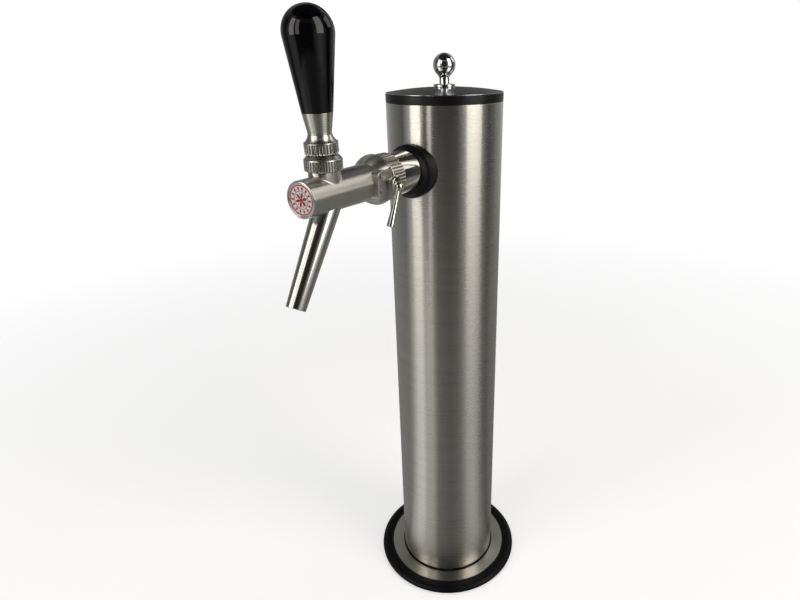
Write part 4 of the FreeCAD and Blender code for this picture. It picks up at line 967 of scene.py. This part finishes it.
def pour_handle():
    cup_end = math.degrees(math.acos(4.05 / 15.25))
    cup_start = math.degrees(math.acos(11.15 / 15.25))
    outline = arc((0, 0), 15.25, cup_end, cup_start, 10)
    outline += [(11.5, 10.4, 0.2), (11.5, 11.3), (11.5, 17.1), (11.5, 18.0, 0.5), (10.8, 18.05)]
    outline += bowed((10.8, 18.05), (8.0, 22.8), -0.35, 8) + [(8.0, 22.8), (4.05, 22.8)]
    collar = turned("lever_collar", outline, around=240)
    cut_flutes(collar, 30, 11.5, 0.6, 11.2, 17.2)
    finish(on_handle(collar), "handle", [collar_steel], ["lever_collar"])
    ferrule = on_handle(turned("handle_ferrule", [
        (0, 34.25), (4.05, 34.25), (4.05, 22.8), (8.0, 22.8, 0.3), (8.0, 24.0, 0.5), (10.3, 36.7, 0.15),
        (4.0, 36.7), (4.0, 54.7, 0.8), (0, 54.7),
    ], around=96, closed=False))
    finish(ferrule, "handle", [handle_steel], ["handle_ferrule"])
    grip = on_handle(turned("handle_grip", [
        (0, 55.7), (4.05, 55.7), (4.05, 36.7), (10.3, 36.7, 0.3), (12.31, 51.77), (14.33, 66.84),
    ] + arc((0, 84.1), 16.5, -7.63, 90.0, 28), around=128, closed=False))
    finish(grip, "handle", [grip_black], ["handle_grip"])


# Flow control

def flow_control():
    plate = flow_block("flow_plate", 0.0, 15.6, 17.4)
    bevel_edges(plate, lambda a, b: a.x > 17.39 and b.x > 17.39, 0.7, 4)
    combine(plate, side_hole(2.05, 10, 20), "DIFFERENCE")
    for radius, low in ((1.75, 16.4), (1.05, 10)):
        for up in SCREWS_UP:
            combine(plate, side_hole(radius, low, 20, up, SCREW_AT), "DIFFERENCE")
    finish(on_tap(plate), "tower", [plate_steel], ["flow_plate"])
    screws = []
    for up in SCREWS_UP:
        screw = turned("plate_screws", [
            (0, 12.1), (1.0, 12.1), (1.0, 16.4), (1.7, 17.1, 0.15), (0, 17.1),
        ], around=48, closed=False)
        combine(screw, slab("screw_slot", (-2, -0.3, 16.6), (2, 0.3, 18)), "DIFFERENCE")
        screws.append(turn_and_move(screw, (0, 90, 0), (0, up, SCREW_AT)))
    finish(on_tap(join(*screws)), "tower", [inner_steel], ["plate_screws"])
    hub = on_flow_stem(turned("flow_hub", [
        (0, 9.0), (2.8, 9.0), (2.8, 9.6), (2.0, 9.6), (2.0, 17.7), (3.7, 17.7), (3.7, 19.9), (5.3, 19.9, 0.5),
        (5.3, 23.8, 0.8), (0, 23.8),
    ], around=96, closed=False))
    pin = turned("eccentric_pin", [(0, 5.9), (1.1, 5.9, 0.2), (1.1, 9.3), (0, 9.3)], around=32, closed=False)
    turn_and_move(pin, (0, 90, 0), (0, -FLOW_AT, TAP_HEIGHT - 1.5))
    combine(hub, pin, "UNION")
    finish(hub, "flow_control", [lever_steel], ["flow_hub"])
    seat = math.degrees(math.asin(1.58 / 3.7))
    lever = turned("flow_lever", arc((0, 0), 3.7, -90, 90 - seat, 20) + [
        (1.9, 10.0), (2.4, 20.0), (2.95, 30.2, 0.5), (0, 30.2),
    ], around=64, closed=False)
    lean = math.radians(180 - LEVER_LEAN)
    place = (25.5, -FLOW_AT - 2.2 * math.sin(lean), TAP_HEIGHT - 2.2 * math.cos(lean))
    turn_and_move(lever, (LEVER_LEAN, 0, 0), place)
    socket = on_flow_stem(turned("hub_socket", [(0, 19.9), (5.35, 19.9), (5.35, 23.8), (0, 23.8)], around=64))
    combine(lever, socket, "DIFFERENCE")
    finish(lever, "flow_control", [lever_steel], ["flow_lever"], smooth=40)


# Fittings inside the column and the tap keep their plain solids and get their own finishes
INNER_FINISHES = (
    (pipe_steel, ("knob_washer", "knob_nut", "product_pipe")),
    (brass, ("shank_locknut", "tail_nut", "tail_elbow", "pipe_olive", "pipe_nut")),
    (seal_rubber, ("tail_gasket", "coupling_gasket", "piston_rings", "shutoff_seal", "flow_ring")),
    (white_plastic, ("inner_saddle", "lower_seat", "upper_seat", "compensator_cone", "compensator_sleeve")),
    (inner_steel, ("lever_spindle", "piston_rod", "shutoff_washer", "piston_nut")),
)


def inner_fittings():
    for material, names in INNER_FINISHES:
        for name in names:
            for slot in frame["nodes"][name].material_slots:
                slot.material = material


# Studio

FLOOR_R = 3.0
FLOOR_FADE = (0.5, 1.3)
FLOOR_GREY = 0.78
FLOOR_LIFT = 0.5
BOOTH_R = 1.8
BOOTH_HEIGHT = 2.6
BOOTH_GAP = 0.0008
LENS = 25.4616
CAMERA_AT = (0.273743, -0.43721, 0.537115)
CAMERA_TILT = (67.644048, 0.651195, 32.53492)
CAMERA_TURN = 32.05
LAMP_TINT = (1.0, 0.965, 0.895)
# Angle to the camera's right, in degrees, and grey tone there
WALL_TONES = (
    (-180, 0.08), (-172, 0.12), (-160, 0.46), (-145, 0.36), (-125, 0.26), (-104, 0.14), (-88, 0.06),
    (-78, 0.36), (-60, 0.56), (-48, 0.36), (-44, 0.05), (-24, 0.03), (0, 0.02), (24, 0.03), (42, 0.38),
    (58, 0.64), (76, 0.36), (94, 0.02), (108, 0.02), (122, 0.24), (145, 0.4), (160, 0.5), (172, 0.12),
    (180, 0.08),
)
TABLE_TONES = (
    (-180, 0.24), (-100, 0.26), (-84, 0.26), (-76, 0.5), (-60, 0.7), (-48, 0.6), (-44, 0.44), (-40, 0.48),
    (-30, 0.42), (-18, 0.2), (8, 0.14), (28, 0.18), (44, 0.3), (60, 0.34), (80, 0.2), (92, 0.1),
    (112, 0.18), (180, 0.24),
)


def light_path_share(tree):
    """1 for rays that see the background directly, in a reflection or through glass."""
    rays = node(tree, "ShaderNodeLightPath")
    seen = math_node(tree, "MAXIMUM", rays.outputs["Is Camera Ray"], rays.outputs["Is Glossy Ray"])
    return math_node(tree, "MAXIMUM", seen, rays.outputs["Is Transmission Ray"])


def world():
    made = bpy.data.worlds.new("studio")
    bpy.context.scene.world = made
    made.use_nodes = True
    tree = made.node_tree
    tree.nodes.clear()
    white = node(tree, "ShaderNodeBackground")
    white.inputs["Color"].default_value = (1, 1, 1, 1)
    grey = node(tree, "ShaderNodeBackground")
    grey.inputs["Color"].default_value = (0.27, 0.27, 0.28, 1)
    mix = node(tree, "ShaderNodeMixShader")
    end = node(tree, "ShaderNodeOutputWorld")
    tree.links.new(light_path_share(tree), mix.inputs[0])
    tree.links.new(grey.outputs[0], mix.inputs[1])
    tree.links.new(white.outputs[0], mix.inputs[2])
    tree.links.new(mix.outputs[0], end.inputs[0])


def empty_material(piece, name):
    """Nodes of a new material without any, given to a piece of the set."""
    material = bpy.data.materials.new(name)
    material.use_nodes = True
    material.node_tree.nodes.clear()
    piece.data.materials.append(material)
    return material.node_tree


def floor():
    bpy.ops.mesh.primitive_circle_add(vertices=96, radius=FLOOR_R, fill_type="NGON", location=(0, 0, 0))
    ground = bpy.context.object
    ground.name = "floor"
    tree = empty_material(ground, "pale floor")
    matt = node(tree, "ShaderNodeBsdfDiffuse")
    matt.inputs["Color"].default_value = (*[FLOOR_GREY] * 3, 1)
    lift = node(tree, "ShaderNodeEmission")
    lift.inputs["Color"].default_value = (1, 1, 1, 1)
    rays_share = light_path_share(tree)
    tree.links.new(math_node(tree, "MULTIPLY", rays_share, FLOOR_LIFT), lift.inputs["Strength"])
    added = node(tree, "ShaderNodeAddShader")
    tree.links.new(matt.outputs[0], added.inputs[0])
    tree.links.new(lift.outputs[0], added.inputs[1])
    clear = node(tree, "ShaderNodeBsdfTransparent")
    place = node(tree, "ShaderNodeTexCoord")
    reach = node(tree, "ShaderNodeVectorMath", operation="LENGTH")
    tree.links.new(place.outputs["Object"], reach.inputs[0])
    fade = spread(tree, reach.outputs["Value"], *FLOOR_FADE)
    mix = node(tree, "ShaderNodeMixShader")
    end = node(tree, "ShaderNodeOutputMaterial")
    tree.links.new(fade, mix.inputs[0])
    tree.links.new(added.outputs[0], mix.inputs[1])
    tree.links.new(clear.outputs[0], mix.inputs[2])
    tree.links.new(mix.outputs[0], end.inputs[0])


def lamp(name, angle, distance, low, high, width, glow, aim_height):
    """Softbox between two heights, at an angle to the camera's right, aimed at a height on the tower."""
    data = bpy.data.lights.new(name, "AREA")
    data.shape = "RECTANGLE"
    data.size = width
    data.size_y = high - low
    data.energy = glow * math.pi * width * (high - low)
    data.color = LAMP_TINT
    made = bpy.data.objects.new(name, data)
    bpy.context.scene.collection.objects.link(made)
    turn = math.radians(CAMERA_TURN + angle)
    made.location = (distance * math.sin(turn), -distance * math.cos(turn), (low + high) / 2)
    aim = Vector((0, 0, aim_height)) - made.location
    made.rotation_euler = aim.to_track_quat("-Z", "Y").to_euler()
    made.visible_camera = False


def tone_steps(tree, value, low, high, steps):
    """Colour ramp of greys over a range; each step is a place in the range and its tone."""
    ramp = node(tree, "ShaderNodeValToRGB")
    elements = ramp.color_ramp.elements
    elements.remove(elements[-1])
    elements[0].position = (steps[0][0] - low) / (high - low)
    elements[0].color = (*[steps[0][1]] * 3, 1)
    for place, tone in steps[1:]:
        made = elements.new((place - low) / (high - low))
        made.color = (*[tone] * 3, 1)
    tree.links.new(value, ramp.inputs["Fac"])
    return ramp.outputs["Color"]


def booth():
    """Grey booth round the set that only reflections show, with its own tone in each direction."""
    middle = BOOTH_HEIGHT / 2 + BOOTH_GAP
    bpy.ops.mesh.primitive_cylinder_add(
        vertices=96, radius=BOOTH_R, depth=BOOTH_HEIGHT, location=(0, 0, middle)
    )
    walls = bpy.context.object
    walls.name = "booth"
    tree = empty_material(walls, "grey booth")
    place = node(tree, "ShaderNodeTexCoord")
    turned_place = node(tree, "ShaderNodeMapping")
    turned_place.inputs["Rotation"].default_value = (0, 0, math.radians(90 - CAMERA_TURN))
    tree.links.new(place.outputs["Object"], turned_place.inputs["Vector"])
    round_wall = node(tree, "ShaderNodeTexGradient", gradient_type="RADIAL")
    tree.links.new(turned_place.outputs["Vector"], round_wall.inputs["Vector"])
    parts = node(tree, "ShaderNodeSeparateXYZ")
    tree.links.new(place.outputs["Object"], parts.inputs["Vector"])
    low = tone_steps(tree, round_wall.outputs["Fac"], -180, 180, WALL_TONES)
    table = tone_steps(tree, round_wall.outputs["Fac"], -180, 180, TABLE_TONES)
    high = spread(tree, parts.outputs["Z"], -0.65, 0.1, 1.0, 0.55)
    roof = spread(tree, parts.outputs["Z"], 1.28, 1.29, 1.0, 0.1)
    upper = spread(tree, parts.outputs["Z"], 0.2, 0.45, 0.0, 0.08)
    lit_low = blend(tree, 1.0, low, math_node(tree, "MULTIPLY", high, roof), "MULTIPLY")
    wall = blend(tree, 1.0, lit_low, math_node(tree, "MULTIPLY", upper, roof), "ADD")
    ground = spread(tree, parts.outputs["Z"], -1.29, -1.3, 0.0, 1.0)
    tone = blend(tree, ground, wall, table)
    glow = node(tree, "ShaderNodeEmission")
    tree.links.new(tone, glow.inputs["Color"])
    end = node(tree, "ShaderNodeOutputMaterial")
    tree.links.new(glow.outputs[0], end.inputs[0])
    show_in_reflections_only(walls)


def show_in_reflections_only(card):
    card.visible_camera = False
    card.visible_diffuse = False
    card.visible_shadow = False
    card.visible_transmission = False
    card.visible_volume_scatter = False


def studio():
    world()
    floor()
    lamp("left_softbox", -58.0, 1.35, 0.38, 1.7, 0.52, 2.65, 1.0)
    lamp("front_softbox", -33.5, 1.35, 0.38, 1.7, 0.34, 1.8, 1.0)
    lamp("right_softbox", 59.0, 1.35, 0.42, 2.3, 0.83, 2.5, 1.2)
    lamp("back_softbox", 118.0, 1.5, 0.9, 1.7, 0.8, 1.0, 0.45)
    booth()


def camera():
    data = bpy.data.cameras.new("camera")
    data.sensor_width = 36.0
    data.lens = LENS
    data.shift_x = -0.04875
    data.shift_y = -0.0137
    data.clip_start = 0.01
    made = bpy.data.objects.new("camera", data)
    made.location = CAMERA_AT
    made.rotation_euler = [math.radians(angle) for angle in CAMERA_TILT]
    bpy.context.scene.collection.objects.link(made)
    bpy.context.scene.camera = made


camera()
studio()
bpy.context.scene.view_settings.view_transform = "Standard"
base_flange()
base_edge_ring()
column()
cap()
shank_and_nut()
tap_body()
spout()
badge()
bonnet()
pour_handle()
flow_control()
inner_fittings()
